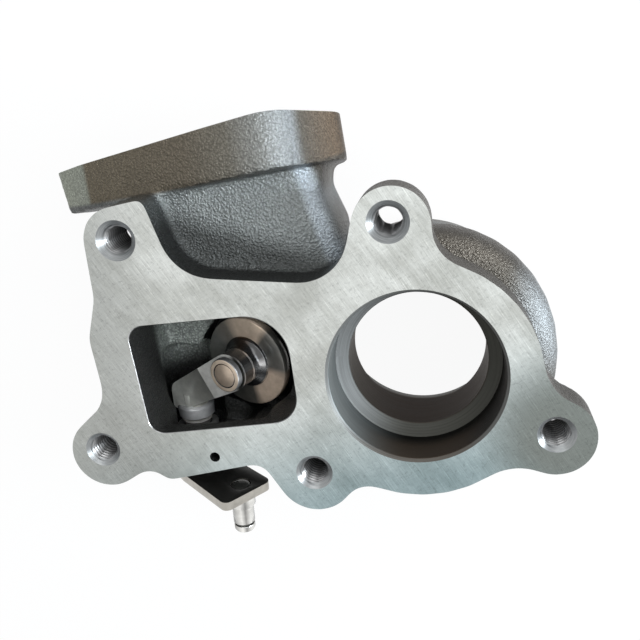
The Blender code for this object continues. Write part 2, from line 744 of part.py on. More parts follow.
def make_lever():
    far = LEVER_END - LEVER_CORNER_R
    side = LEVER_HALF - LEVER_CORNER_R
    circles = [(0.0, 0.0, LEVER_ROOT_R), (far, -side, LEVER_CORNER_R), (far, side, LEVER_CORNER_R)]
    outline = belt(circles, SMALL_ARC_STEP)
    turn = Matrix.Rotation(math.radians(LEVER_TURN), 4, "Z")
    down = down_the_shaft() @ turn
    lever = prism("crank_lever", outline, LEVER_FROM, LEVER_FROM + LEVER_THICK, down)
    past = (LEVER_FROM - CUT_PAST, LEVER_FROM + LEVER_THICK + CUT_PAST)
    cut(lever, rod("shaft_hole", SHAFT_R + FIT_GAP, *past, ROUND, down))
    pin = down @ Matrix.Translation(Vector((LEVER_REACH, LEVER_PIN_ASIDE, 0.0)))
    cut(lever, rod("pin_hole", PIN_GROOVE_R + FIT_GAP, *past, SMALL, pin))
    return lever


def make_pin():
    """Crank pin: riveted in the lever, with a collar and a groove for a clip."""
    base = LEVER_FROM + LEVER_THICK + FIT_GAP
    groove = base + PIN_GROOVE_FROM
    end = base + PIN_LONG
    shape = [
        (0.0, LEVER_FROM),
        (PIN_GROOVE_R, LEVER_FROM),
        (PIN_GROOVE_R, base),
        (PIN_COLLAR_R, base),
        (PIN_COLLAR_R, base + PIN_COLLAR_LONG),
        (PIN_R, base + PIN_COLLAR_LONG + PIN_BEVEL),
        (PIN_R, groove),
        (PIN_GROOVE_R, groove),
        (PIN_GROOVE_R, groove + PIN_GROOVE_LONG),
        (PIN_TAIL_R, groove + PIN_GROOVE_LONG),
        (PIN_TAIL_R, end - PIN_BEVEL),
        (PIN_TAIL_R - PIN_BEVEL, end),
        (0.0, end),
    ]
    turn = Matrix.Rotation(math.radians(LEVER_TURN), 4, "Z")
    place = Matrix.Translation(Vector((LEVER_REACH, LEVER_PIN_ASIDE, 0.0)))
    return turned("crank_pin", shape, SMALL, down_the_shaft() @ turn @ place)


def in_metres(place):
    made = place.copy()
    made.translation = place.translation * MM
    return made


def finish(piece, look, parent=None, place=None):
    """Turns the millimetres of a finished mesh into metres and gives it its material and place."""
    piece.data.transform(Matrix.Scale(MM, 4))
    piece.data.materials.clear()
    piece.data.materials.append(look)
    piece.data.shade_smooth()
    piece.data.set_sharp_from_angle(angle=math.radians(SHARP_ANGLE))
    piece.parent = parent
    if place is not None:
        piece.matrix_basis = in_metres(place)


def main():
    clear_scene()
    iron = material("cast_iron", IRON)
    steel = material("forged_steel", STEEL)
    bright = material("bright_steel", BRIGHT)
    axis = bpy.data.objects.new("wastegate_axis", None)
    bpy.context.scene.collection.objects.link(axis)
    axis.matrix_basis = in_metres(shaft_frame())
    valve_place = Matrix.Translation(Vector((ARM_REACH, 0.0, -SHAFT_ABOVE_FACE)))
    finish(make_housing(), iron)
    finish(make_bush(), bright, axis)
    finish(make_arm(), steel, axis)
    finish(make_lever(), steel, axis)
    finish(make_pin(), bright, axis)
    finish(make_valve(), steel, axis, valve_place)
    finish(make_washer(), bright, axis, valve_place)


main()
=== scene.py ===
"""Looks of a turbocharger turbine housing with its wastegate valve.

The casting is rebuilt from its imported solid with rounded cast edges, and its machined faces, bore,
seat and threaded holes are cut again as fine surfaces. The valve, its washer and the lever's pin are
turned again round their own axes, and the arm, the lever and the bush are copies of their solids. Meshes
are made in millimetres, in the frame of the solids: the turbine axis is Z, and the outlet face looks along
+Z. They are scaled to metres when they are finished.
"""
import json
import math

import bmesh
import bpy
from mathutils import Matrix, Vector


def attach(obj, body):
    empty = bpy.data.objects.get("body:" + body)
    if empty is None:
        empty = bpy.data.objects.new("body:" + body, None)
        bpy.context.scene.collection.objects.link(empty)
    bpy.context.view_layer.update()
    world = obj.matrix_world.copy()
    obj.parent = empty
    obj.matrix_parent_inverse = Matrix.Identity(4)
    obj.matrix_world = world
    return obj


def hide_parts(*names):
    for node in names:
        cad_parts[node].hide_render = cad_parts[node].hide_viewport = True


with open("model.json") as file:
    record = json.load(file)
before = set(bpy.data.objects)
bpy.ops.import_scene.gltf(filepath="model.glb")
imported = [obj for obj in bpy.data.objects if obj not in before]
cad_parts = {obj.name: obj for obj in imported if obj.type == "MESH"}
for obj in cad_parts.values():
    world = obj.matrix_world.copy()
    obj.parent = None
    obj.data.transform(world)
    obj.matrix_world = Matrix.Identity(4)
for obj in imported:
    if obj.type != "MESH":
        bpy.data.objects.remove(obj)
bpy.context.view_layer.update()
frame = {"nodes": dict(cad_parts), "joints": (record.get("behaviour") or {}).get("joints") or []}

MM = 0.001

# Casting: cell size and smoothing of the cast surface, and the stock on its machined faces
CELL = 1.0
SMOOTHING = 9
FILLET_SMOOTHING = 14
STOCK = 3.0
PAST = 1.0
WHOLE = 200.0
PLUG_GAP = 0.2

# Where the cast surface is smoothed more, for the wide fillets round the inlet neck: X, Y and Z of the
# zone, the height of the crease under the inlet flange, and how fast the smoothing fades at the sides
NECK_X = (-74.0, -8.0)
NECK_Y = 20.0
NECK_Z = (20.0, 50.0)
NECK_CREASE = 47.0
NECK_FADE = 4.0
NECK_FADE_DEEP = 3.0
INLET_ACROSS = (0.978, 0.208, 0.0)
INLET_UP = (-0.208, 0.978, 0.0)

# Sizes that repeat the solids
FACE_Z = 54.0
INLET_TURN = 12.0
INLET_TILT = 12.0
INLET_HEIGHT = 70.5
INLET_BOLTS = [(-80.0, 20.5), (-64.5, 12.0), (-25.5, -1.5), (-19.5, 26.0)]
INLET_BOLT_R = 3.4
INLET_BOLT_DEEP = 9.0
BACK_R = 28.0
BORE = [
    (24.2, 1.0),
    (23.2, 0.0),
    (22.4, -0.8),
    (22.15, -13.3),
    (18.6, -14.9),
    (18.6, -30.5),
    (20.1, -32.5),
    (23.0, -33.6),
    (BACK_R, -33.6),
    (BACK_R, -39.6),
    (24.5, -39.6),
    (24.5, -49.0),
    (27.0, -49.0),
    (27.0, -55.0),
]
CLAMP_R = 31.0
CLAMP_HIGH = 6.4
CLAMP_RING = [
    (27.0, 0.0), (30.4, 0.0), (CLAMP_R, 0.6), (CLAMP_R, 4.0), (28.6, CLAMP_HIGH), (27.0, CLAMP_HIGH),
]
HOLES = [
    (35.5, -13.0, 4.9),
    (-8.1, 39.5, 5.3),
    (-76.6, 32.9, 5.3),
    (-84.6, -25.6, 4.9),
    (-25.9, -28.2, 4.9),
]
HOLE_DEEP = 18.0
HOLE_PLUG_WIDER = 1.4
HOLE_PLUG_R = 3.7
HOLE_PLUG_DEEP = 17.1
THREAD_PITCH = 1.25
THREAD_CORE_R = 3.4
THREAD_R = 4.0
DOWEL_HOLE = (-53.0, -25.6, 1.4)
DOWEL_DEEP = 6.0
SEAT_R = 15.2
SEAT_Z = -3.3
SEAT_RIM = 8.4
BUSH_HOLE_R = 6.5
BUSH_HOLE = (21.3, 35.4)
BUSH_PLUG = (22.5, 34.3)
CHAMBER_CORNERS = [(-37.6, -7.6, 7.0), (-43.6, 2.8, 11.5), (-70.9, 6.5, 4.1), (-67.0, -15.4, 4.1)]
CHAMBER_EDGE = 0.13
CHAMBER_NEAR = 8.0
CHAMBER_MIDDLE = (-55.0, -5.0)
CHAMBER_X = (-82.0, -24.0)
CHAMBER_Y = (-31.0, 17.0)
CHAMBER_LOW = 8.0
CHAMBER_LIP = 4.0

# Small pieces, in the frames of the valve and of the shaft
FIT_GAP = 0.3
VALVE_R = 13.4
VALVE_THICK = 3.0
VALVE_BOSS_R = 7.5
VALVE_NECK_R = 4.9
VALVE_BOSS_HIGH = 3.2
STUD_R = 3.4
STUD_TOP = 10.3
WASHER_LOW = 8.5
EYE_LOW = 3.5
EYE_HIGH = 8.2
EYE_R = 5.9
EYE_PAINTED_SHADOW_R = 5.6
WASHER_R = 5.05
ARM_TURN = 32.16
ARM_FACET_TILT = 4.0
HUB_FROM = 14.2
HUB_RIM = (17.6, 19.5)
HUB_TO = 22.0
LEVER_FROM = 35.9
LEVER_THICK = 2.7
LEVER_TURN = 16.3
LEVER_REACH = 17.7
LEVER_PIN_ASIDE = -1.0
LEVER_EDGE = 0.4
PIN_HEAD_R = 2.7
PIN_COLLAR_R = 3.9
PIN_COLLAR_LONG = 3.4
PIN_R = 3.2
PIN_GROOVE_FROM = 9.5
PIN_GROOVE_LONG = 0.9
PIN_TAIL_R = 3.1
PIN_LONG = 12.4

# Floor
FLOOR_REACH = 1500.0
FLOOR_TOP = -2.0
FLOOR_THICK = 10.0


def joint(name):
    """The joint's place in millimetres and its axis."""
    found = [j for j in frame["joints"] if j["name"] == name][0]
    return Vector(found["pos_m"]) / MM, Vector(found["axis"]).normalized()


SHAFT_POINT, SHAFT_DOWN = joint("wastegate_swing")
VALVE_POINT, VALVE_OUT = joint("valve_spin")


def axes(origin, up, out):
    """A frame with Y along up and Z along out."""
    across = up.cross(out)
    turn = Matrix((across, up, out)).transposed().to_4x4()
    return Matrix.Translation(origin) @ turn


VALVE = axes(VALVE_POINT, -SHAFT_DOWN, VALVE_OUT)
SHAFT = axes(SHAFT_POINT, -SHAFT_DOWN, VALVE_OUT)
DOWN = SHAFT @ Matrix.Rotation(math.radians(90.0), 4, "X")
LEVER = DOWN @ Matrix.Rotation(math.radians(LEVER_TURN), 4, "Z")
PIN_AT = Vector((LEVER_REACH, LEVER_PIN_ASIDE, LEVER_FROM + LEVER_THICK + FIT_GAP))
PIN = LEVER @ Matrix.Translation(PIN_AT)
ARM_TOP = SHAFT @ Matrix.Rotation(math.radians(ARM_TURN), 4, "Z")


def inlet_place():
    """The frame of the inlet face, with Z out of the face."""
    turn = Matrix.Rotation(math.radians(INLET_TURN), 4, "Z")
    tilt = Matrix.Rotation(math.radians(-INLET_TILT), 4, "X")
    swap = Matrix(((1, 0, 0, 0), (0, 0, 1, 0), (0, -1, 0, 0), (0, 0, 0, 1)))
    face = Matrix.Translation(Vector((0.0, 0.0, INLET_HEIGHT)))
    return Matrix.Translation(Vector((0.0, 0.0, FACE_Z))) @ turn @ tilt @ swap @ face


INLET = inlet_place()


def new_object(name, points, faces, place=None):
    mesh = bpy.data.meshes.new(name)
    mesh.from_pydata([tuple(p) for p in points], [], faces)
    work = bmesh.new()
    work.from_mesh(mesh)
    bmesh.ops.recalc_face_normals(work, faces=work.faces)
    if work.calc_volume(signed=True) < 0.0:
        bmesh.ops.reverse_faces(work, faces=work.faces)
    work.to_mesh(mesh)
    work.free()
    made = bpy.data.objects.new(name, mesh)
    bpy.context.scene.collection.objects.link(made)
    if place is not None:
        mesh.transform(place)
    return made


def turned(name, profile, steps=128, place=None):
    """A solid turned about Z from (radius, height) points; it closes on itself off the axis."""
    points = []
    rows = []
    for radius, height in profile:
        count = 1 if radius == 0.0 else steps
        rows.append([len(points) + i for i in range(count)])
        for i in range(count):
            angle = 2.0 * math.pi * i / steps
            points.append((radius * math.cos(angle), radius * math.sin(angle), height))
    faces = []
    on_axis = profile[0][0] == 0.0
    pairs = zip(rows, rows[1:]) if on_axis else zip(rows, rows[1:] + rows[:1])
    for low, high in pairs:
        for i in range(steps):
            j = (i + 1) % steps
            if len(low) == 1:
                faces.append([low[0], high[i], high[j]])
            elif len(high) == 1:
                faces.append([low[i], low[j], high[0]])
            else:
                faces.append([low[i], low[j], high[j], high[i]])
    return new_object(name, points, faces, place)


def rod(name, radius, low, high, steps=64, place=None):
    return turned(name, [(0.0, low), (radius, low), (radius, high), (0.0, high)], steps, place)


def box(name, low, high, place=None):
    points = [(x, y, z) for z in (low[2], high[2]) for y in (low[1], high[1]) for x in (low[0], high[0])]
    faces = [[0, 2, 3, 1], [4, 5, 7, 6], [0, 1, 5, 4], [2, 6, 7, 3], [0, 4, 6, 2], [1, 3, 7, 5]]
    return new_object(name, points, faces, place)


def apply_modifiers(piece):
    evaluated = piece.evaluated_get(bpy.context.evaluated_depsgraph_get())
    mesh = bpy.data.meshes.new_from_object(evaluated)
    piece.modifiers.clear()
    piece.data = mesh


def combine(target, tool, operation):
    step = target.modifiers.new(operation.lower(), "BOOLEAN")
    step.operation = operation
    step.solver = "MANIFOLD"
    step.object = tool
    apply_modifiers(target)
    bpy.data.objects.remove(tool, do_unlink=True)


def thread_cutter(name, x, y, rim):
    """A threaded core hole: its radius goes up and down once a pitch along a helix."""
    steps = 40
    rows_a_pitch = 8
    chamfer = rim - THREAD_CORE_R
    rows = []
    count = int(HOLE_DEEP / THREAD_PITCH) * rows_a_pitch
    points = []
    for k in range(count + 1):
        height = -HOLE_DEEP + k * THREAD_PITCH / rows_a_pitch
        rows.append(len(points))
        for i in range(steps):
            turn = i / steps
            phase = (height / THREAD_PITCH - turn) % 1.0
            deep = 1.0 - abs(2.0 * phase - 1.0)
            radius = THREAD_CORE_R + (THREAD_R - THREAD_CORE_R) * deep
            radius = max(radius, rim + height) if height > -chamfer else radius
            angle = 2.0 * math.pi * turn
            points.append((x + radius * math.cos(angle), y + radius * math.sin(angle), FACE_Z + height))
    rows.append(len(points))
    for i in range(steps):
        angle = 2.0 * math.pi * i / steps
        radius = rim + PAST
        points.append((x + radius * math.cos(angle), y + radius * math.sin(angle), FACE_Z + PAST))
    faces = [[rows[0] + i for i in range(steps)][::-1], [rows[-1] + i for i in range(steps)]]
    for low, high in zip(rows, rows[1:]):
        for i in range(steps):
            j = (i + 1) % steps
            faces.append([low + i, low + j, high + j, high + i])
    return new_object(name, points, faces)


def bore_solid(name, grow=0.0):
    """The bore as a solid; grown a little it plugs the bore for the rounding of the cast surface."""
    shape = [(r + grow, FACE_Z + z) for r, z in BORE]
    if grow:
        shape = [(r, z) for r, z in shape if r < BORE[8][0]]
        shape[0] = (shape[0][0], FACE_Z + STOCK)
        shape[-1] = (shape[-1][0], -STOCK)
    return turned(name, [(0.0, shape[0][1])] + shape + [(0.0, shape[-1][1])], 160)


def stock_on_faces(mesh):
    """Raises the three machined faces, so that their edges can be cut sharp after the rounding."""
    out = INLET.to_3x3().col[2]
    inlet_point = INLET.translation
    for vertex in mesh.vertices:
        co = vertex.co
        if abs(co.z - FACE_Z) < 0.02:
            co.z += STOCK
        elif abs(co.z) < 0.02:
            co.z -= STOCK
        elif abs((co - inlet_point).dot(out)) < 0.02:
            vertex.co = co + out * STOCK


def plug_holes(body):
    """Fills the machined holes, so that the smoothing of the cast surface doesn't round them."""
    combine(body, bore_solid("bore_plug", PLUG_GAP), "UNION")
    for k, (x, y, rim) in enumerate(HOLES):
        place = Matrix.Translation(Vector((x, y, FACE_Z)))
        wide = rim + HOLE_PLUG_WIDER
        shape = [
            (0.0, STOCK), (wide, STOCK), (wide, -1.0), (HOLE_PLUG_R, -3.0),
            (HOLE_PLUG_R, -HOLE_PLUG_DEEP), (0.0, -HOLE_PLUG_DEEP),
        ]
        combine(body, turned("hole_plug_" + str(k), shape, 24, place), "UNION")
    x, y, r = DOWEL_HOLE
    place = Matrix.Translation(Vector((x, y, FACE_Z)))
    plug = rod("dowel_plug", r + PLUG_GAP, -DOWEL_DEEP - PLUG_GAP, STOCK, 16, place)
    combine(body, plug, "UNION")
    radius = INLET_BOLT_R + PLUG_GAP
    for k, (x, y) in enumerate(INLET_BOLTS):
        place = INLET @ Matrix.Translation(Vector((x, y, 0.0)))
        plug = rod("bolt_plug_" + str(k), radius, -INLET_BOLT_DEEP - PLUG_GAP, STOCK, 16, place)
        combine(body, plug, "UNION")
    combine(body, rod("bush_plug", BUSH_HOLE_R + PLUG_GAP, *BUSH_PLUG, 24, DOWN), "UNION")


def chamber_outline(grow):
    """Outline of the chamber's mouth: the hull of its corner circles, grown."""
    points = []
    for x, y, r in CHAMBER_CORNERS:
        for k in range(96):
            angle = 2.0 * math.pi * k / 96
            points.append((x + (r + grow) * math.cos(angle), y + (r + grow) * math.sin(angle)))
    points.sort()
    sides = []
    for row in (points, points[::-1]):
        side = []
        for point in row:
            while len(side) > 1 and turns_right(side[-2], side[-1], point):
                side.pop()
            side.append(point)
        sides += side[:-1]
    return sides


def turns_right(a, b, c):
    """True where the way from a over b to c turns right or goes straight on."""
    return (b[0] - a[0]) * (c[1] - a[1]) - (b[1] - a[1]) * (c[0] - a[0]) <= 0.0


def mouth_edge():
    """A narrow chamfer round the chamber's mouth."""
    low = [(x, y, FACE_Z - CHAMBER_EDGE) for x, y in chamber_outline(0.0)]
    high = [(x, y, FACE_Z + PAST) for x, y in chamber_outline(CHAMBER_EDGE + PAST)]
    count = min(len(low), len(high))
    faces = [list(range(count))[::-1], list(range(count, 2 * count))]
    for i in range(count):
        j = (i + 1) % count
        faces.append([i, j, count + j, count + i])
    return new_object("mouth_edge", low[:count] + high[:count], faces)


def machine(body):
    """Cuts the machined faces and holes into the cast body."""
    combine(body, box("over_outlet", (-WHOLE, -WHOLE, FACE_Z), (WHOLE, WHOLE, WHOLE)), "DIFFERENCE")
    combine(body, box("under_clamp", (-WHOLE, -WHOLE, -WHOLE), (WHOLE, WHOLE, 0.0)), "DIFFERENCE")
    combine(body, box("off_inlet", (-WHOLE, -WHOLE, 0.0), (WHOLE, WHOLE, WHOLE / 2), INLET), "DIFFERENCE")
    combine(body, turned("clamp_ring", CLAMP_RING, 128), "UNION")
    combine(body, bore_solid("bore"), "DIFFERENCE")
    combine(body, rod("seat", SEAT_R, SEAT_Z, SEAT_RIM, 128, VALVE), "DIFFERENCE")
    combine(body, mouth_edge(), "DIFFERENCE")
    for k, (x, y, rim) in enumerate(HOLES):
        combine(body, thread_cutter("thread_" + str(k), x, y, rim), "DIFFERENCE")
    x, y, r = DOWEL_HOLE
    place = Matrix.Translation(Vector((x, y, FACE_Z)))
    combine(body, rod("dowel_hole", r, -DOWEL_DEEP, PAST, 32, place), "DIFFERENCE")
    for k, (x, y) in enumerate(INLET_BOLTS):
        place = INLET @ Matrix.Translation(Vector((x, y, 0.0)))
        hole = rod("bolt_" + str(k), INLET_BOLT_R, -INLET_BOLT_DEEP, PAST, 48, place)
        combine(body, hole, "DIFFERENCE")
    combine(body, rod("bush_hole", BUSH_HOLE_R, *BUSH_HOLE, 64, DOWN), "DIFFERENCE")


def surface_of(centre, normal, near_chamber):
    """The material of a face of the casting, told by where it lies."""
    if abs(centre.z - FACE_Z) < 0.03 and normal.z > 0.99:
        return "ground"
    inlet = INLET.inverted() @ centre
    if abs(inlet.z) < 0.03 and normal.dot(INLET.to_3x3().col[2]) > 0.99:
        return "ground"
    radius = math.hypot(centre.x, centre.y)
    if centre.z < 0.03 and normal.z < -0.99 and radius < CLAMP_R + 0.5:
        return "turned"
    outward = normal.x * centre.x + normal.y * centre.y
    if radius < CLAMP_R + 0.2 and centre.z < CLAMP_HIGH + 0.1 and outward > 0.0:
        return "turned"
    if radius < BACK_R + 0.1 and on_bore(radius, centre.z - FACE_Z):
        return "turned"
    for x, y, rim in HOLES:
        if math.hypot(centre.x - x, centre.y - y) < rim + 0.3 and centre.z > FACE_Z - HOLE_DEEP:
            return "thread"
    seat = VALVE.inverted() @ centre
    seat_radius = math.hypot(seat.x, seat.y)
    if seat_radius < SEAT_R + 0.1 and SEAT_Z - 0.1 < seat.z < SEAT_RIM - 0.1:
        if abs(seat.z - SEAT_Z) < 0.05 or abs(seat_radius - SEAT_R) < 0.1:
            return "seat"
    if near_chamber(centre, normal):
        if centre.z > FACE_Z - CHAMBER_EDGE - 0.05 and normal.z > 0.3:
            return "edge"
        return "chamber"
    return "cast"


def on_bore(radius, height):
    """True where a point lies on the turned profile of the bore."""
    for (r0, z0), (r1, z1) in zip(BORE, BORE[1:]):
        length = math.hypot(r1 - r0, z1 - z0)
        along = ((radius - r0) * (r1 - r0) + (height - z0) * (z1 - z0)) / length
        aside = abs((radius - r0) * (z1 - z0) - (height - z0) * (r1 - r0)) / length
        if -0.1 <= along <= length + 0.1 and aside < 0.12:
            return True
    return False


def fillet_share(point):
    """How much a point of the cast surface takes part in the wide fillets round the inlet neck."""
    across = min(point.x - NECK_X[0], NECK_X[1] - point.x) / NECK_FADE
    under_crease = NECK_CREASE - point.dot(Vector(INLET_UP))
    ahead = min(point.y - NECK_Y, under_crease) / NECK_FADE
    deep = min(point.z - NECK_Z[0], NECK_Z[1] - point.z) / NECK_FADE_DEEP
    return max(0.0, min(1.0, across, ahead, deep))


def round_off(body, iterations, group=""):
    """Adds a smoothing of the body, or of one group of its points."""
    smooth = body.modifiers.new("rounding", "SMOOTH")
    smooth.factor = 0.5
    smooth.iterations = iterations
    smooth.vertex_group = group


def mark_threads(mesh):
    """Marks each point of a threaded hole with its depth in the thread, from crest 0 to root 1."""
    marks = mesh.attributes.new("thread_depth", "FLOAT", "POINT")
    for vertex in mesh.vertices:
        x, y, z = vertex.co
        if z < FACE_Z - HOLE_DEEP - 0.1:
            continue
        for hole_x, hole_y, _ in HOLES:
            radius = math.hypot(x - hole_x, y - hole_y)
            if radius < THREAD_R + 0.05:
                marks.data[vertex.index].value = (radius - THREAD_CORE_R) / (THREAD_R - THREAD_CORE_R)


def casting():
    """The casting with rounded cast edges and sharp machined faces."""
    source = frame["nodes"]["turbine_housing"]
    mesh = source.data.copy()
    mesh.transform(Matrix.Scale(1.0 / MM, 4))
    mesh.materials.clear()
    body = bpy.data.objects.new("cast_housing", mesh)
    bpy.context.scene.collection.objects.link(body)
    work = bmesh.new()
    work.from_mesh(mesh)
    bmesh.ops.remove_doubles(work, verts=work.verts, dist=0.0005)
    work.to_mesh(mesh)
    work.free()
    stock_on_faces(mesh)
    plug_holes(body)
    remesh = body.modifiers.new("cells", "REMESH")
    remesh.mode = "VOXEL"
    remesh.voxel_size = CELL
    apply_modifiers(body)
    fillets = body.vertex_groups.new(name="fillets")
    for vertex in body.data.vertices:
        share = fillet_share(vertex.co)
        if share > 0.0:
            fillets.add([vertex.index], share, "REPLACE")
    round_off(body, SMOOTHING)
    round_off(body, FILLET_SMOOTHING, "fillets")
    apply_modifiers(body)
    body.vertex_groups.clear()
    machine(body)
    mark_threads(body.data)
    looks = {
        "cast": cast_iron(),
        "chamber": chamber_skin(),
        "ground": ground_face(),
        "turned": turned_iron(),
        "seat": seat_iron(),
        "thread": thread_metal(),
        "edge": bright_edge(),
    }
    names = list(looks)
    body.data.materials.clear()
    for name in names:
        body.data.materials.append(looks[name])
    outline = chamber_outline(CHAMBER_NEAR)
    sides = list(zip(outline, outline[1:] + outline[:1]))

    def near_chamber(point, normal):
        inside = CHAMBER_X[0] < point.x < CHAMBER_X[1] and CHAMBER_Y[0] < point.y < CHAMBER_Y[1]
        if not inside or point.z < CHAMBER_LOW:
            return False
        return inside_wall(point, normal) and not any(turns_right(a, b, point) for a, b in sides)

    for face in body.data.polygons:
        name = surface_of(face.center, face.normal, near_chamber)
        face.material_index = names.index(name)
    return body


def inside_wall(point, normal):
    """True for the chamber's inner side, whose faces look towards its middle or up from its floor."""
    inward = (CHAMBER_MIDDLE[0] - point.x) * normal.x + (CHAMBER_MIDDLE[1] - point.y) * normal.y
    return inward > 0.0 or (normal.z > 0.6 and point.z < FACE_Z - CHAMBER_LIP)


def finish(piece, body, replaced, sharp=32.0):
    """Scales a finished mesh to metres, shades it and puts it in the frame."""
    piece.data.transform(Matrix.Scale(MM, 4))
    piece.data.shade_smooth()
    piece.data.set_sharp_from_angle(angle=math.radians(sharp))
    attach(piece, body)
    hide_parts(replaced)


def graph(name, roughness, metallic):
    """A new material with its node tree and shader."""
    made = bpy.data.materials.new(name)
    made.use_nodes = True
    tree = made.node_tree
    shader = tree.nodes["Principled BSDF"]
    shader.inputs["Roughness"].default_value = roughness
    shader.inputs["Metallic"].default_value = metallic
    return made, tree, shader


def math_node(tree, operation, *inputs):
    node = tree.nodes.new("ShaderNodeMath")
    node.operation = operation
    for socket, value in zip(node.inputs, inputs):
        if isinstance(value, (int, float)):
            socket.default_value = value
        else:
            tree.links.new(value, socket)
    return node.outputs["Value"]


def local(tree, place=None):
    """Object coordinates in millimetres, in the frame of place."""
    coords = tree.nodes.new("ShaderNodeTexCoord")
    mapping = tree.nodes.new("ShaderNodeMapping")
    back = Matrix.Identity(4) if place is None else place.inverted()
    mapping.inputs["Location"].default_value = back.translation
    mapping.inputs["Rotation"].default_value = back.to_euler()
    mapping.inputs["Scale"].default_value = (1.0 / MM, 1.0 / MM, 1.0 / MM)
    tree.links.new(coords.outputs["Object"], mapping.inputs["Vector"])
    return mapping.outputs["Vector"]


def stretched(tree, vector, grain, turn=0.0):
    """Coordinates turned about Z and counted in grains, so that a texture of size 1 has that grain."""
    mapping = tree.nodes.new("ShaderNodeMapping")
    mapping.vector_type = "TEXTURE"
    mapping.inputs["Rotation"].default_value = (0.0, 0.0, math.radians(turn))
    mapping.inputs["Scale"].default_value = grain
    tree.links.new(vector, mapping.inputs["Vector"])
    return mapping.outputs["Vector"]


def parts(tree, vector):
    node = tree.nodes.new("ShaderNodeSeparateXYZ")
    tree.links.new(vector, node.inputs["Vector"])
    return node.outputs["X"], node.outputs["Y"], node.outputs["Z"]


def polar(tree, vector):
    """Radius, angle as a share of the turn from 0 to 1 with a half at +X, and height."""
    x, y, z = parts(tree, vector)
    radius = math_node(tree, "SQRT", math_node(tree, "ADD", math_node(tree, "MULTIPLY", x, x),
                                               math_node(tree, "MULTIPLY", y, y)))
    angle = math_node(tree, "ARCTAN2", y, x)
    share = math_node(tree, "MULTIPLY_ADD", angle, 0.5 / math.pi, 0.5)
    return radius, share, z


def faced(tree):
    """The object's own normal."""
    return tree.nodes.new("ShaderNodeTexCoord").outputs["Normal"]


def joined(tree, x, y, z):
    node = tree.nodes.new("ShaderNodeCombineXYZ")
    for socket, value in zip(node.inputs, (x, y, z)):
        if isinstance(value, (int, float)):
            socket.default_value = value
        else:
            tree.links.new(value, socket)
    return node.outputs["Vector"]


def noise(tree, vector, scale, detail, roughness):
    node = tree.nodes.new("ShaderNodeTexNoise")
    node.inputs["Scale"].default_value = scale
    node.inputs["Detail"].default_value = detail
    node.inputs["Roughness"].default_value = roughness
    tree.links.new(vector, node.inputs["Vector"])
    return node.outputs["Fac"]


def ramp(tree, value, stops):
    """A colour or grey for each value from 0 to 1, from (value, colour) stops."""
    node = tree.nodes.new("ShaderNodeValToRGB")
    while len(node.color_ramp.elements) < len(stops):
        node.color_ramp.elements.new(0.5)
    for element, (place, colour) in zip(node.color_ramp.elements, stops):
        element.position = place
        element.color = (colour, colour, colour, 1.0) if isinstance(colour, float) else (*colour, 1.0)
    tree.links.new(value, node.inputs["Fac"])
    return node.outputs["Color"]


def span(tree, value, start, end, low=0.0, high=1.0):
    """Value from start to end, mapped to low to high and kept in it."""
    node = tree.nodes.new("ShaderNodeMapRange")
    node.interpolation_type = "SMOOTHSTEP"
    node.inputs["From Min"].default_value = start
    node.inputs["From Max"].default_value = end
    node.inputs["To Min"].default_value = low
    node.inputs["To Max"].default_value = high
    tree.links.new(value, node.inputs["Value"])
    return node.outputs["Result"]


def slope(tree, vector, direction, start, end):
    """0 to 1 as the place goes from start to end along a direction."""
    node = tree.nodes.new("ShaderNodeVectorMath")
    node.operation = "DOT_PRODUCT"
    tree.links.new(vector, node.inputs[0])
    node.inputs[1].default_value = Vector(direction).normalized()
    return span(tree, node.outputs["Value"], start, end)


def spot(tree, vector, centre, inner, outer):
    """1 within inner of a point, falling to 0 at outer."""
    node = tree.nodes.new("ShaderNodeVectorMath")
    node.operation = "DISTANCE"
    tree.links.new(vector, node.inputs[0])
    node.inputs[1].default_value = centre
    return span(tree, node.outputs["Value"], inner, outer, 1.0, 0.0)


def mixed(tree, factor, first, second, kind="MIX"):
    """Two colours mixed; each input is a socket, and the factor may also be a number, a colour a tuple."""
    node = tree.nodes.new("ShaderNodeMix")
    node.data_type = "RGBA"
    node.blend_type = kind
    sockets = [s for s in node.inputs if s.enabled]
    for socket, value in zip(sockets, (factor, first, second)):
        if isinstance(value, float):
            socket.default_value = value
        elif isinstance(value, tuple):
            socket.default_value = (*value, 1.0)
        else:
            tree.links.new(value, socket)
    return [s for s in node.outputs if s.enabled][0]


def colour_of(tree, shader, colour):
    tree.links.new(colour, shader.inputs["Base Color"])


def roughness_of(tree, shader, value):
    tree.links.new(value, shader.inputs["Roughness"])


def bump(tree, shader, height, distance, strength=1.0):
    node = tree.nodes.new("ShaderNodeBump")
    node.inputs["Strength"].default_value = strength
    node.inputs["Distance"].default_value = distance * MM
    tree.links.new(height, node.inputs["Height"])
    tree.links.new(node.outputs["Normal"], shader.inputs["Normal"])


def pebbles(tree, place):
    """Height of a shot-blasted cast skin: rounded grains of about 0.7 mm with a finer one on them."""
    cells = tree.nodes.new("ShaderNodeTexVoronoi")
    cells.feature = "SMOOTH_F1"
    cells.inputs["Scale"].default_value = 1.45
    cells.inputs["Smoothness"].default_value = 0.5
    tree.links.new(place, cells.inputs["Vector"])
    fine = noise(tree, place, 2.1, 4.0, 0.6)
    grains = math_node(tree, "MULTIPLY", cells.outputs["Distance"], -0.6)
    return math_node(tree, "MULTIPLY_ADD", fine, 0.9, grains)


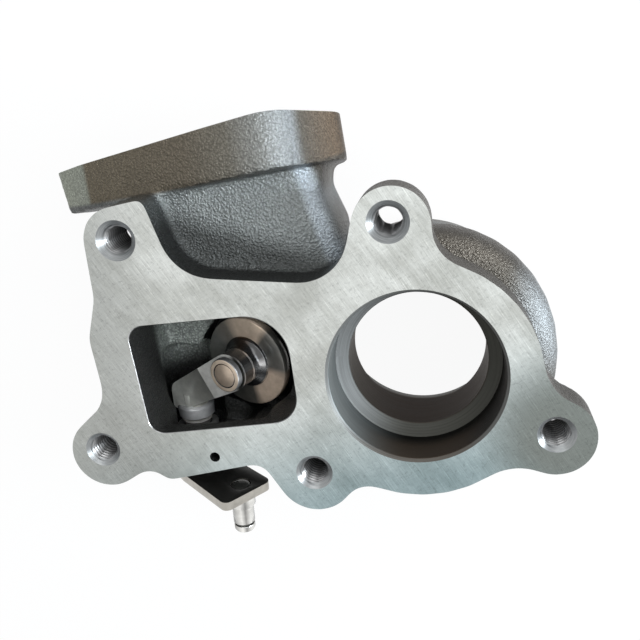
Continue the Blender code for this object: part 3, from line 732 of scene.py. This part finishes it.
def cast_iron():
    """Shot-blasted iron: dark, with a pebbled skin; painted shade on the scroll, the inlet neck's foot and
    right side and vertical walls, and painted highlights and brown painted reflections on the scroll, the
    neck's edge and the inlet flange's side.
    """
    made, tree, shader = graph("cast_iron_skin", 0.34, 0.9)
    place = local(tree)
    skin = pebbles(tree, place)
    bump(tree, shader, skin, 0.62)
    cloud = noise(tree, place, 0.06, 3.0, 0.55)
    base = ramp(tree, cloud, [(0.3, (0.26, 0.28, 0.277)), (0.7, (0.34, 0.365, 0.36))])
    # painted shade: the scroll side, right of the inlet neck, made darker and browner
    base = mixed(tree, slope(tree, place, (1.0, 0.35, 0.0), 6.0, 20.0), base, (0.12, 0.11, 0.095))
    # painted highlight: a pale bluish painted highlight on the outer side of the scroll
    scroll_highlight = spot(tree, place, (46.0, 14.0, 26.0), 8.0, 27.0)
    base = mixed(tree, scroll_highlight, base, (0.55, 0.60, 0.63))
    # painted highlight and painted shade on the inlet neck's right edge: a bluish highlight band, then
    # darker and browner on the side beyond it that turns away
    neck = slope(tree, place, (0.0, 1.0, 0.0), 22.0, 28.0)
    neck_edge_highlight = math_node(tree, "MULTIPLY", slope(tree, place, (1.0, 0.38, 0.0), -14.5, -12.0),
                      slope(tree, place, (-1.0, -0.38, 0.0), 8.0, 10.5))
    brown = slope(tree, place, (1.0, 0.38, 0.0), -10.0, -7.0)
    base = mixed(tree, math_node(tree, "MULTIPLY", brown, neck), base, (0.15, 0.135, 0.115))
    base = mixed(tree, math_node(tree, "MULTIPLY", neck_edge_highlight, neck), base, (0.55, 0.61, 0.66))
    # painted shade: darker towards the foot of the inlet neck, in the outlet flange's recess, left of the
    # scroll
    low = math_node(tree, "MULTIPLY", slope(tree, place, (-0.25, -1.0, 0.0), -25.0, -17.0),
                    slope(tree, place, (-1.0, 0.0, 0.0), 6.0, 10.0))
    base = mixed(tree, low, base, (0.11, 0.115, 0.112))
    # painted light along the side of the inlet flange: lighter grey on the left end's facet, brown painted
    # reflections along most of it, and a bright bluish painted highlight next to the right-hand corner,
    # brown again at the right end
    across = slope(tree, place, INLET_ACROSS, -90.0, -6.0)
    scale = ramp(tree, across, [
        (0.0, (0.24, 0.255, 0.215)),
        (0.030, (0.22, 0.235, 0.20)),
        (0.037, (0.115, 0.098, 0.07)),
        (0.50, (0.135, 0.117, 0.09)),
        (0.72, (0.165, 0.155, 0.13)),
        (0.86, (0.27, 0.28, 0.27)),
        (0.935, (0.40, 0.43, 0.445)),
        (0.95, (0.17, 0.158, 0.135)),
        (1.0, (0.22, 0.16, 0.11)),
    ])
    flange = slope(tree, place, INLET_UP, 56.2, 57.4)
    base = mixed(tree, flange, base, scale)
    speck = ramp(tree, skin, [(0.05, 0.8), (0.22, 1.0), (0.40, 1.2)])
    # painted shade: vertical faces are darkened, faces that look up or down stay as they are
    facing_for_painted_shade = math_node(tree, "ABSOLUTE", parts(tree, faced(tree))[2])
    shade = span(tree, facing_for_painted_shade, 0.15, 0.8, 0.42, 1.0)
    base = mixed(tree, 1.0, base, joined(tree, shade, shade, shade), "MULTIPLY")
    colour_of(tree, shader, mixed(tree, 1.0, base, speck, "MULTIPLY"))
    roughness_of(tree, shader, span(tree, cloud, 0.3, 0.7, 0.34, 0.46))
    return made


def chamber_skin():
    """The chamber's cast walls, near black, with a painted pool of light on the back wall."""
    made, tree, shader = graph("chamber_skin", 0.5, 0.5)
    place = local(tree)
    skin = pebbles(tree, place)
    bump(tree, shader, skin, 0.4)
    # painted light: a pale pool of light on the chamber's back wall, low down
    painted_light_pool = math_node(tree, "MULTIPLY", spot(tree, place, (-69.0, 0.0, 28.0), 6.0, 14.0),
                      slope(tree, place, (0.0, 0.0, -1.0), -38.0, -33.0))
    base = mixed(tree, painted_light_pool, (0.035, 0.036, 0.034), (0.50, 0.54, 0.50))
    speck = ramp(tree, skin, [(0.05, 0.5), (0.30, 0.9), (0.5, 1.5)])
    colour_of(tree, shader, mixed(tree, 1.0, base, speck, "MULTIPLY"))
    return made


def ground_face():
    """A ground flange face: light grey, with fine slanting scratches and cloudy patches, and painted
    reflections: lighter towards the top, cooler and darker towards the bottom, darker at the left end and
    round the right-hand hole.
    """
    made, tree, shader = graph("ground_iron", 0.4, 0.7)
    place = local(tree)
    fine = noise(tree, stretched(tree, place, (6.0, 0.24, 1.0), -54.0), 1.0, 4.0, 0.65)
    broad = noise(tree, stretched(tree, place, (22.0, 1.6, 1.0), -47.0), 1.0, 3.0, 0.5)
    across = noise(tree, stretched(tree, place, (5.0, 0.3, 1.0), 28.0), 1.0, 3.0, 0.6)
    speck = noise(tree, place, 1.4, 5.0, 0.7)
    cloud = noise(tree, place, 0.045, 4.0, 0.6)
    lines = math_node(tree, "MULTIPLY_ADD", across, 0.3, fine)
    mottle = math_node(tree, "MULTIPLY_ADD", broad, 0.3, cloud)
    # painted reflection: a lighter, warmer grey for the top of the face and a cooler, darker one towards the
    # bottom
    bright = mixed(tree, span(tree, mottle, 0.43, 0.85), (0.39, 0.395, 0.365), (0.60, 0.61, 0.58))
    cool = mixed(tree, span(tree, mottle, 0.43, 0.85), (0.19, 0.25, 0.255), (0.295, 0.365, 0.375))
    base = mixed(tree, slope(tree, place, (0.35, -1.0, 0.0), -12.0, 32.0), bright, cool)
    # painted reflection: darker towards the left end
    left = slope(tree, place, (-1.0, -0.2, 0.0), 55.0, 80.0)
    base = mixed(tree, math_node(tree, "MULTIPLY", left, 0.6), base, (0.24, 0.245, 0.23))
    # painted reflection: darker round the right-hand hole
    painted_reflection_at_hole = spot(tree, place, (38.0, -12.0, 54.0), 8.0, 27.0)
    base = mixed(tree, painted_reflection_at_hole, base, (0.165, 0.18, 0.165))
    shade = ramp(tree, lines, [(0.42, 0.66), (0.58, 0.95), (0.76, 1.1), (0.88, 1.6)])
    base = mixed(tree, 0.8, base, shade, "MULTIPLY")
    dots = ramp(tree, speck, [(0.33, 0.6), (0.45, 1.0), (0.6, 1.0), (0.72, 1.3)])
    colour_of(tree, shader, mixed(tree, 0.6, base, dots, "MULTIPLY"))
    roughness_of(tree, shader, span(tree, mottle, 0.4, 1.0, 0.42, 0.55))
    bump(tree, shader, lines, 0.02, 0.8)
    return made


def turned_iron():
    """Turned bores and faces: a grey wall, a lighter step and a dark throat with fine rings; each is lighter
    on the bore's left side as painted light and darker on its right as painted shade, with a brown painted
    reflection low on the wall under the rim.
    """
    made, tree, shader = graph("turned_iron", 0.45, 0.5)
    shader.inputs["Specular IOR Level"].default_value = 0.2
    shader.inputs["Specular Tint"].default_value = (0.4, 0.36, 0.32, 1.0)
    place = local(tree)
    radius, angle, height = polar(tree, place)
    rings = noise(tree, joined(tree, radius, angle, height), 3.0, 4.0, 0.7)
    # painted light on the bore's left side and painted shade on its right, for the wall, the step, the
    # throat and the rim
    painted_lit_side = slope(tree, place, (-1.0, 0.25, 0.0), -4.0, 20.0)
    wall = mixed(tree, painted_lit_side, (0.014, 0.0135, 0.012), (0.21, 0.23, 0.23))
    step = mixed(tree, painted_lit_side, (0.05, 0.05, 0.044), (0.21, 0.22, 0.22))
    throat = mixed(tree, painted_lit_side, (0.022, 0.015, 0.0095), (0.045, 0.043, 0.038))
    deep = math_node(tree, "SUBTRACT", FACE_Z, height)
    base = mixed(tree, span(tree, deep, 13.1, 13.35), wall, step)
    base = mixed(tree, span(tree, deep, 14.7, 15.0), base, throat)
    rim = mixed(tree, painted_lit_side, (0.10, 0.10, 0.095), (0.17, 0.175, 0.17))
    base = mixed(tree, span(tree, deep, 0.8, 0.6), base, rim)
    base = mixed(tree, span(tree, deep, 46.0, 48.0), base, (0.22, 0.22, 0.215))
    # painted reflection: brown, low on the bore's wall a few millimetres under the rim
    glow = math_node(tree, "MULTIPLY", slope(tree, place, (0.1, -1.0, 0.0), 14.0, 22.0),
                     span(tree, deep, 12.0, 7.0))
    base = mixed(tree, math_node(tree, "MULTIPLY", glow, 0.35), base, (0.09, 0.065, 0.045))
    shade = ramp(tree, rings, [(0.3, 0.7), (0.7, 1.3)])
    colour_of(tree, shader, mixed(tree, 1.0, base, shade, "MULTIPLY"))
    roughness_of(tree, shader, span(tree, rings, 0.3, 0.7, 0.4, 0.52))
    bump(tree, shader, rings, 0.03, 0.8)
    return made


def seat_iron():
    """The valve's seat and the wall round it, with turning rings round the valve's axis and painted
    reflections in sectors round it.
    """
    made, tree, shader = graph("seat_iron", 0.35, 0.9)
    radius, angle, height = polar(tree, local(tree, VALVE))
    grain = joined(tree, math_node(tree, "MULTIPLY", radius, 2.5), math_node(tree, "MULTIPLY", angle, 3.0),
                   math_node(tree, "MULTIPLY", height, 2.5))
    rings = noise(tree, grain, 1.0, 3.0, 0.6)
    # painted reflection: lighter and darker sectors round the valve's axis
    side = ramp(tree, angle, [
        (0.0, 0.05), (0.3, 0.03), (0.42, 0.10), (0.52, 0.16), (0.62, 0.07), (1.0, 0.05),
    ])
    shade = ramp(tree, rings, [(0.35, 0.45), (0.65, 1.5)])
    colour_of(tree, shader, mixed(tree, 1.0, side, shade, "MULTIPLY"))
    bump(tree, shader, rings, 0.04, 0.8)
    return made


def thread_metal():
    """Fresh cut threads and chamfers, with painted light on the threads' crests and painted shade in their
    roots and deeper down the hole.
    """
    made, tree, shader = graph("cut_thread", 0.32, 0.9)
    place = local(tree)
    depth = tree.nodes.new("ShaderNodeAttribute")
    depth.attribute_name = "thread_depth"
    height = parts(tree, place)[2]
    chamfer = span(tree, height, FACE_Z - 2.0, FACE_Z - 1.0)
    grain = noise(tree, stretched(tree, place, (3.0, 3.0, 0.2)), 1.0, 3.0, 0.6)
    # painted light on the crests and painted shade in the roots
    thread = ramp(tree, depth.outputs["Fac"], [(0.0, 0.62), (0.35, 0.38), (0.8, 0.08), (1.0, 0.04)])
    # painted shade: the threads darker deeper down the hole
    down = span(tree, height, FACE_Z - 17.0, FACE_Z - 3.0, 0.5, 1.0)
    thread = mixed(tree, 1.0, thread, joined(tree, down, down, down), "MULTIPLY")
    cut = ramp(tree, grain, [(0.3, (0.22, 0.23, 0.235)), (0.7, (0.33, 0.34, 0.34))])
    base = mixed(tree, chamfer, thread, cut)
    colour_of(tree, shader, base)
    return made


def bright_edge():
    """The narrow edge where the ground face ends: bright with a painted highlight along the left end of the
    chamber's mouth, dark grey elsewhere.
    """
    made, tree, shader = graph("bright_edge", 0.3, 0.9)
    place = local(tree)
    colour = ramp(tree, noise(tree, place, 0.5, 3.0, 0.6), [(0.3, 0.25), (0.6, 0.55)])
    # painted highlight: bright only along the left end
    left = slope(tree, place, (-1.0, 0.0, 0.0), 62.0, 72.0)
    colour_of(tree, shader, mixed(tree, left, (0.2, 0.2, 0.2), colour))
    return made


def worn(tree, place, colour):
    """A colour with faint clouds."""
    cloud = noise(tree, place, 0.3, 4.0, 0.6)
    shade = ramp(tree, cloud, [(0.3, 0.8), (0.7, 1.15)])
    return mixed(tree, 1.0, colour, shade, "MULTIPLY")


def steel(name, colour, rough, place=None, grain=(1.2, 1.2, 0.25), metallic=0.45):
    """Ground or forged steel with faint marks."""
    made, tree, shader = graph(name, rough, metallic)
    spot_at = local(tree, place)
    colour_of(tree, shader, worn(tree, spot_at, colour))
    bump(tree, shader, noise(tree, stretched(tree, spot_at, grain), 1.0, 4.0, 0.6), 0.015, 0.7)
    return made


def banded(name, place, stops, rough, tint=(1.0, 1.0, 1.0), metallic=0.45):
    """Turned steel: its colour runs round the axis in sectors of painted reflection, as a lathe-turned face
    shows the room.
    """
    made, tree, shader = graph(name, rough, metallic)
    where = local(tree, place)
    radius, angle, height = polar(tree, where)
    # painted reflection: the colour set by the angle round the axis
    painted_sector_colour = ramp(tree, angle, stops)
    painted_sector_colour = mixed(tree, 1.0, painted_sector_colour, tint, "MULTIPLY")
    colour_of(tree, shader, worn(tree, where, painted_sector_colour))
    grain = joined(tree, math_node(tree, "MULTIPLY", radius, 6.0), math_node(tree, "MULTIPLY", angle, 4.0),
                   math_node(tree, "MULTIPLY", height, 6.0))
    bump(tree, shader, noise(tree, grain, 1.0, 3.0, 0.6), 0.008, 0.6)
    return made


def eye_flat():
    """The top of the arm's eye: bright, with a painted shadow at its free end, next to the washer."""
    made, tree, shader = graph("arm_eye", 0.3, 0.45)
    where = local(tree, VALVE)
    radius, _, _ = polar(tree, where)
    # painted shadow: near black close round the washer on the free end
    free = slope(tree, where, (1.0, 0.1, 0.0), 0.5, 3.0)
    painted_shadow = math_node(tree, "MULTIPLY", free, span(tree, radius, EYE_PAINTED_SHADOW_R + 0.15, EYE_PAINTED_SHADOW_R))
    base = mixed(tree, painted_shadow, (0.88, 0.86, 0.81), (0.035, 0.035, 0.03))
    colour_of(tree, shader, worn(tree, where, base))
    return made


def eye_wall(stops):
    """The wall of the arm's eye: painted reflections round it, mostly dark, and a painted highlight near
    each end, brightest on one side.
    """
    made, tree, shader = graph("arm_eye_side", 0.2, 0.7)
    where = local(tree, VALVE)
    _, angle, height = polar(tree, where)
    painted_sector_colour = ramp(tree, angle, stops)
    # painted highlight: bright bands near both ends of the wall, set by the angle round the axis
    low = math_node(tree, "ABSOLUTE", math_node(tree, "SUBTRACT", height, EYE_LOW + 0.3))
    high = math_node(tree, "ABSOLUTE", math_node(tree, "SUBTRACT", height, EYE_HIGH - 0.25))
    painted_highlight_band = span(tree, math_node(tree, "MINIMUM", low, high), 0.4, 0.2)
    painted_lit_side = ramp(tree, angle, [(0.3, 0.15), (0.42, 0.9), (0.6, 0.7), (0.7, 0.15)])
    colour_of(tree, shader, mixed(tree, painted_highlight_band, painted_sector_colour, painted_lit_side))
    return made


def own_copy(name, node, edge_round=0.0):
    """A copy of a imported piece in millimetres, with its flat faces joined and, if asked, rounded edges."""
    source = frame["nodes"][node]
    mesh = source.data.copy()
    mesh.transform(Matrix.Scale(1.0 / MM, 4) @ source.matrix_world)
    mesh.materials.clear()
    made = bpy.data.objects.new(name, mesh)
    bpy.context.scene.collection.objects.link(made)
    work = bmesh.new()
    work.from_mesh(mesh)
    bmesh.ops.remove_doubles(work, verts=work.verts, dist=0.001)
    bmesh.ops.dissolve_limit(work, angle_limit=math.radians(0.7), verts=work.verts, edges=work.edges)
    work.to_mesh(mesh)
    work.free()
    if edge_round:
        edge = made.modifiers.new("rounded_edges", "BEVEL")
        edge.width = edge_round
        edge.segments = 3
        edge.limit_method = "ANGLE"
        edge.angle_limit = math.radians(28.0)
        apply_modifiers(made)
    return made


def paint(piece, looks, choose):
    """Gives each face the material that choose names for its centre and normal."""
    names = list(looks)
    piece.data.materials.clear()
    for name in names:
        piece.data.materials.append(looks[name])
    for face in piece.data.polygons:
        face.material_index = names.index(choose(face.center, face.normal))


def make_valve():
    shape = [
        (0.0, -VALVE_THICK), (VALVE_R - 0.5, -VALVE_THICK), (VALVE_R, -VALVE_THICK + 0.5),
        (VALVE_R, -0.35), (VALVE_R - 0.08, -0.15), (VALVE_R - 0.25, -0.03), (VALVE_R - 0.45, 0.0),
        (VALVE_BOSS_R + 0.35, 0.0), (VALVE_BOSS_R + 0.15, -0.16), (VALVE_BOSS_R, 0.0),
        (VALVE_BOSS_R - 0.05, 0.3), (VALVE_BOSS_R - 0.22, 0.5), (VALVE_BOSS_R - 0.5, 0.62),
        (6.6, 0.8), (6.15, 1.05), (5.75, 1.4), (5.4, 1.9), (5.15, 2.45), (VALVE_NECK_R + 0.05, 3.05),
        (VALVE_NECK_R - 0.1, VALVE_BOSS_HIGH), (STUD_R, VALVE_BOSS_HIGH), (STUD_R, STUD_TOP - 0.12),
        (STUD_R - 0.12, STUD_TOP), (0.0, STUD_TOP),
    ]
    valve = turned("valve_disc", shape, 128, VALVE)
    # painted reflections: dark, warm and warmest sectors round the valve's turned face
    dark = (0.13, 0.135, 0.12)
    warm = (0.95, 0.75, 0.58)
    warmest = (0.98, 0.79, 0.61)
    face = banded("valve_face", VALVE, [
        (0.0, (0.20, 0.21, 0.19)), (0.08, dark), (0.19, (0.08, 0.08, 0.07)), (0.28, (0.14, 0.13, 0.115)),
        (0.32, warm), (0.46, warm), (0.50, (0.22, 0.21, 0.19)), (0.58, (0.12, 0.12, 0.11)),
        (0.64, (0.20, 0.19, 0.17)), (0.67, warmest), (0.79, warmest), (0.84, (0.3, 0.27, 0.23)),
        (0.92, (0.2, 0.2, 0.185)), (1.0, (0.20, 0.21, 0.19)),
    ], 0.24)
    # painted highlight: the flare bright in a narrow sector, dark round the rest
    flare = banded("valve_flare", VALVE, [
        (0.0, 0.06), (0.25, 0.04), (0.36, 0.10), (0.40, 0.75), (0.45, 0.25), (0.49, 0.85), (0.53, 0.55),
        (0.57, 0.12), (0.68, 0.09), (0.75, (0.13, 0.095, 0.07)), (0.85, 0.05), (1.0, 0.06),
    ], 0.18, metallic=0.8)
    end = steel("stud_end", (0.50, 0.40, 0.31), 0.32, VALVE, (0.6, 0.6, 0.6))

    def choose(centre, normal):
        point = VALVE.inverted() @ centre
        radius = math.hypot(point.x, point.y)
        if point.z > STUD_TOP - 0.2:
            return "end"
        return "flare" if radius < VALVE_BOSS_R + 0.1 and point.z > -0.5 else "face"

    paint(valve, {"face": face, "flare": flare, "end": end}, choose)
    finish(valve, "valve", "wastegate_valve", 50.0)


def make_washer():
    inner = STUD_R + FIT_GAP
    shape = [
        (inner, WASHER_LOW), (WASHER_R - 0.1, WASHER_LOW), (WASHER_R, WASHER_LOW + 0.1),
        (WASHER_R, STUD_TOP - 0.45), (WASHER_R - 0.08, STUD_TOP - 0.22), (WASHER_R - 0.25, STUD_TOP - 0.06),
        (WASHER_R - 0.5, STUD_TOP), (inner, STUD_TOP),
    ]
    washer = turned("stud_washer", shape, 96, VALVE)
    flat = steel("washer_flat", (0.66, 0.54, 0.42), 0.3, VALVE, (0.6, 0.6, 0.6))
    # painted highlight: a narrow bright sector on the washer's side
    side = banded("washer_side", VALVE, [
        (0.0, 0.20), (0.22, 0.12), (0.36, 0.25), (0.45, 0.5), (0.5, 0.9), (0.55, 0.45), (0.66, 0.2),
        (0.8, 0.1), (1.0, 0.2),
    ], 0.2)

    def choose(centre, normal):
        return "flat" if normal.dot(VALVE_OUT) > 0.95 else "side"

    paint(washer, {"flat": flat, "side": side}, choose)
    finish(washer, "valve", "valve_washer", 40.0)


def make_arm():
    arm = own_copy("gate_arm", "wastegate_arm")
    tilted = ARM_TOP.to_3x3() @ Matrix.Rotation(math.radians(ARM_FACET_TILT), 3, "Y")
    root_out = tilted.col[2]
    eye_out = ARM_TOP.to_3x3().col[2]
    looks = {
        "side": steel("arm_side", (0.36, 0.35, 0.31), 0.3, SHAFT),
        "root": steel("arm_root", (0.72, 0.72, 0.66), 0.36, SHAFT),
        "eye": eye_flat(),
        # painted reflections round the eye's wall
        "eye_side": eye_wall([
            (0.0, 0.08), (0.2, 0.05), (0.33, 0.06), (0.42, 0.2), (0.48, 0.08), (0.55, 0.2), (0.6, 0.06),
            (0.75, 0.10), (0.85, 0.05), (1.0, 0.08),
        ]),
        # painted highlight: the hub bright in a sector, darker round the rest
        "hub": banded("arm_hub", DOWN, [
            (0.0, 0.2), (0.25, 0.15), (0.42, 0.3), (0.52, 0.7), (0.58, 1.0), (0.66, 0.9), (0.74, 0.5),
            (0.85, 0.3), (1.0, 0.2),
        ], 0.22),
        # painted highlight: the hub's rim near white
        "rim": steel("hub_rim", (0.95, 0.92, 0.86), 0.25, DOWN, metallic=0.2),
        "shaft": steel("shaft_steel", (0.3, 0.29, 0.27), 0.25, DOWN),
    }

    def choose(centre, normal):
        down = DOWN.inverted() @ centre
        if down.z > HUB_FROM - 0.1:
            if down.z > HUB_TO:
                return "shaft"
            return "rim" if HUB_RIM[0] < down.z < HUB_RIM[1] else "hub"
        if normal.dot(eye_out) > 0.9995:
            return "eye"
        if normal.dot(root_out) > 0.96:
            return "root"
        eye = VALVE.inverted() @ centre
        return "eye_side" if math.hypot(eye.x, eye.y) < EYE_R else "side"

    paint(arm, looks, choose)
    finish(arm, "wastegate", "wastegate_arm", 35.0)


def make_lever():
    lever = own_copy("rod_lever", "crank_lever", LEVER_EDGE)
    looks = {
        "face": steel("lever_face", (0.035, 0.034, 0.031), 0.3, LEVER),
        "edge": steel("lever_edge", (0.42, 0.40, 0.36), 0.28, LEVER, metallic=0.9),
    }

    def choose(centre, normal):
        return "face" if abs(normal.dot(SHAFT_DOWN)) > 0.97 else "edge"

    paint(lever, looks, choose)
    finish(lever, "wastegate", "crank_lever", 40.0)


def make_pin():
    base = -LEVER_THICK - FIT_GAP
    groove = PIN_GROOVE_FROM
    shape = [
        (0.0, base - 0.25), (1.6, base - 0.2), (2.3, base - 0.05), (PIN_HEAD_R, base + 0.2),
        (PIN_HEAD_R, 0.0), (PIN_COLLAR_R - 0.15, 0.0), (PIN_COLLAR_R, 0.15), (PIN_COLLAR_R, PIN_COLLAR_LONG),
        (PIN_COLLAR_R - 0.2, PIN_COLLAR_LONG + 0.3), (PIN_R, PIN_COLLAR_LONG + 0.6), (PIN_R, groove - 0.1),
        (PIN_R - 0.1, groove), (PIN_HEAD_R, groove), (PIN_HEAD_R, groove + PIN_GROOVE_LONG),
        (PIN_TAIL_R - 0.1, groove + PIN_GROOVE_LONG), (PIN_TAIL_R, groove + PIN_GROOVE_LONG + 0.1),
        (PIN_TAIL_R, PIN_LONG - 0.6), (PIN_TAIL_R - 0.2, PIN_LONG - 0.2), (PIN_TAIL_R - 0.6, PIN_LONG),
        (0.0, PIN_LONG),
    ]
    pin = turned("rod_pin", shape, 96, PIN)
    looks = {
        # painted reflections: light and dark bands round the pin
        "pin": banded("pin_steel", PIN, [
            (0.0, 0.75), (0.06, 0.35), (0.12, 0.8), (0.2, 0.5), (0.3, 0.85), (0.37, 0.18), (0.42, 0.7),
            (0.5, 0.8),
            (0.57, 0.3), (0.63, 0.85), (0.72, 0.55), (0.8, 0.2), (0.87, 0.7), (0.94, 0.4), (1.0, 0.75),
        ], 0.16, (1.0, 0.99, 0.95), 0.95),
        "head": steel("pin_head", (0.06, 0.06, 0.055), 0.26, PIN),
        "groove": steel("pin_groove", (0.05, 0.05, 0.045), 0.3, PIN),
    }

    def choose(centre, normal):
        point = PIN.inverted() @ centre
        if point.z < base + 0.1:
            return "head"
        groove_wall = math.hypot(point.x, point.y) < PIN_HEAD_R + 0.05
        return "groove" if groove_wall and groove - 0.1 < point.z < groove + PIN_GROOVE_LONG + 0.1 else "pin"

    paint(pin, looks, choose)
    finish(pin, "wastegate", "crank_pin", 45.0)


def make_bush():
    bush = own_copy("shaft_bush", "wastegate_bush")
    bush.data.materials.append(steel("bush_steel", (0.3, 0.3, 0.29), 0.3, DOWN))
    finish(bush, "housing", "wastegate_bush")


def camera():
    """The photograph's view, from above the outlet face and a little towards the inlet."""
    eye = Vector((3.9, 75.3, 247.9))
    right = Vector((0.989, 0.0, -0.145)).normalized()
    ahead = Vector((-0.138, -0.297, -0.945)).normalized()
    up = right.cross(ahead).normalized()
    right = ahead.cross(up)
    turn = Matrix((right, up, -ahead)).transposed().to_4x4()
    data = bpy.data.cameras.new("photo_view")
    data.sensor_width = 36.0
    data.lens = 46.15
    data.clip_start = 0.01
    data.clip_end = 20.0
    made = bpy.data.objects.new("photo_view", data)
    bpy.context.scene.collection.objects.link(made)
    made.matrix_world = Matrix.Translation(eye * MM) @ turn
    bpy.context.scene.camera = made


def lamp(name, place, aim, size, power, colour):
    data = bpy.data.lights.new(name, "AREA")
    data.shape = "RECTANGLE"
    data.size = size[0] * MM
    data.size_y = size[1] * MM
    data.energy = power
    data.color = colour
    made = bpy.data.objects.new(name, data)
    bpy.context.scene.collection.objects.link(made)
    place = Vector(place)
    turn = (place - Vector(aim)).to_track_quat("Z", "Y").to_matrix().to_4x4()
    made.matrix_world = Matrix.Translation(place * MM) @ turn


def seen_directly(tree):
    """1 for rays from the camera, off gloss and through glass, else 0."""
    path = tree.nodes.new("ShaderNodeLightPath")
    first = math_node(tree, "MAXIMUM", path.outputs["Is Camera Ray"], path.outputs["Is Glossy Ray"])
    return math_node(tree, "MAXIMUM", first, path.outputs["Is Transmission Ray"])


def surroundings():
    """White backdrop, a pale floor that keeps the shadow, and soft lamps."""
    world = bpy.data.worlds.new("studio")
    bpy.context.scene.world = world
    world.use_nodes = True
    tree = world.node_tree
    back = tree.nodes["Background"]
    back.inputs["Color"].default_value = (0.95, 0.97, 1.0, 1.0)
    back.inputs["Strength"].default_value = 0.75
    white = tree.nodes.new("ShaderNodeBackground")
    white.inputs["Color"].default_value = (1.0, 1.0, 1.0, 1.0)
    white.inputs["Strength"].default_value = 1.0
    mix = tree.nodes.new("ShaderNodeMixShader")
    tree.links.new(seen_directly(tree), mix.inputs["Fac"])
    tree.links.new(back.outputs["Background"], mix.inputs[1])
    tree.links.new(white.outputs["Background"], mix.inputs[2])
    tree.links.new(mix.outputs["Shader"], tree.nodes["World Output"].inputs["Surface"])

    low = (-FLOOR_REACH, -FLOOR_REACH, FLOOR_TOP - FLOOR_THICK)
    floor = box("floor", low, (FLOOR_REACH, FLOOR_REACH, FLOOR_TOP))
    floor.data.transform(Matrix.Scale(MM, 4))
    look = bpy.data.materials.new("pale_floor")
    look.use_nodes = True
    tree = look.node_tree
    shader = tree.nodes["Principled BSDF"]
    shader.inputs["Base Color"].default_value = (0.86, 0.86, 0.86, 1.0)
    shader.inputs["Roughness"].default_value = 0.9
    shader.inputs["Specular IOR Level"].default_value = 0.1
    glow = tree.nodes.new("ShaderNodeEmission")
    glow.inputs["Strength"].default_value = 1.0
    mix = tree.nodes.new("ShaderNodeMixShader")
    tree.links.new(math_node(tree, "MULTIPLY", seen_directly(tree), 0.93), mix.inputs["Fac"])
    tree.links.new(shader.outputs["BSDF"], mix.inputs[1])
    tree.links.new(glow.outputs["Emission"], mix.inputs[2])
    tree.links.new(mix.outputs["Shader"], tree.nodes["Material Output"].inputs["Surface"])
    floor.data.materials.append(look)

    lamp("key", (-80.0, 330.0, 430.0), (-30.0, 0.0, 40.0), (420.0, 380.0), 0.7, (0.97, 0.99, 1.0))
    lamp("window", (190.0, 120.0, 420.0), (-20.0, 30.0, 40.0), (220.0, 260.0), 0.6, (0.87, 0.94, 1.0))
    lamp("side", (440.0, 70.0, 130.0), (0.0, 10.0, 30.0), (140.0, 420.0), 3.6, (0.87, 0.94, 1.0))


def main():
    bpy.context.scene.view_settings.view_transform = "Standard"
    finish(casting(), "housing", "turbine_housing")
    make_bush()
    make_arm()
    make_lever()
    make_valve()
    make_washer()
    make_pin()
    camera()
    surroundings()


main()
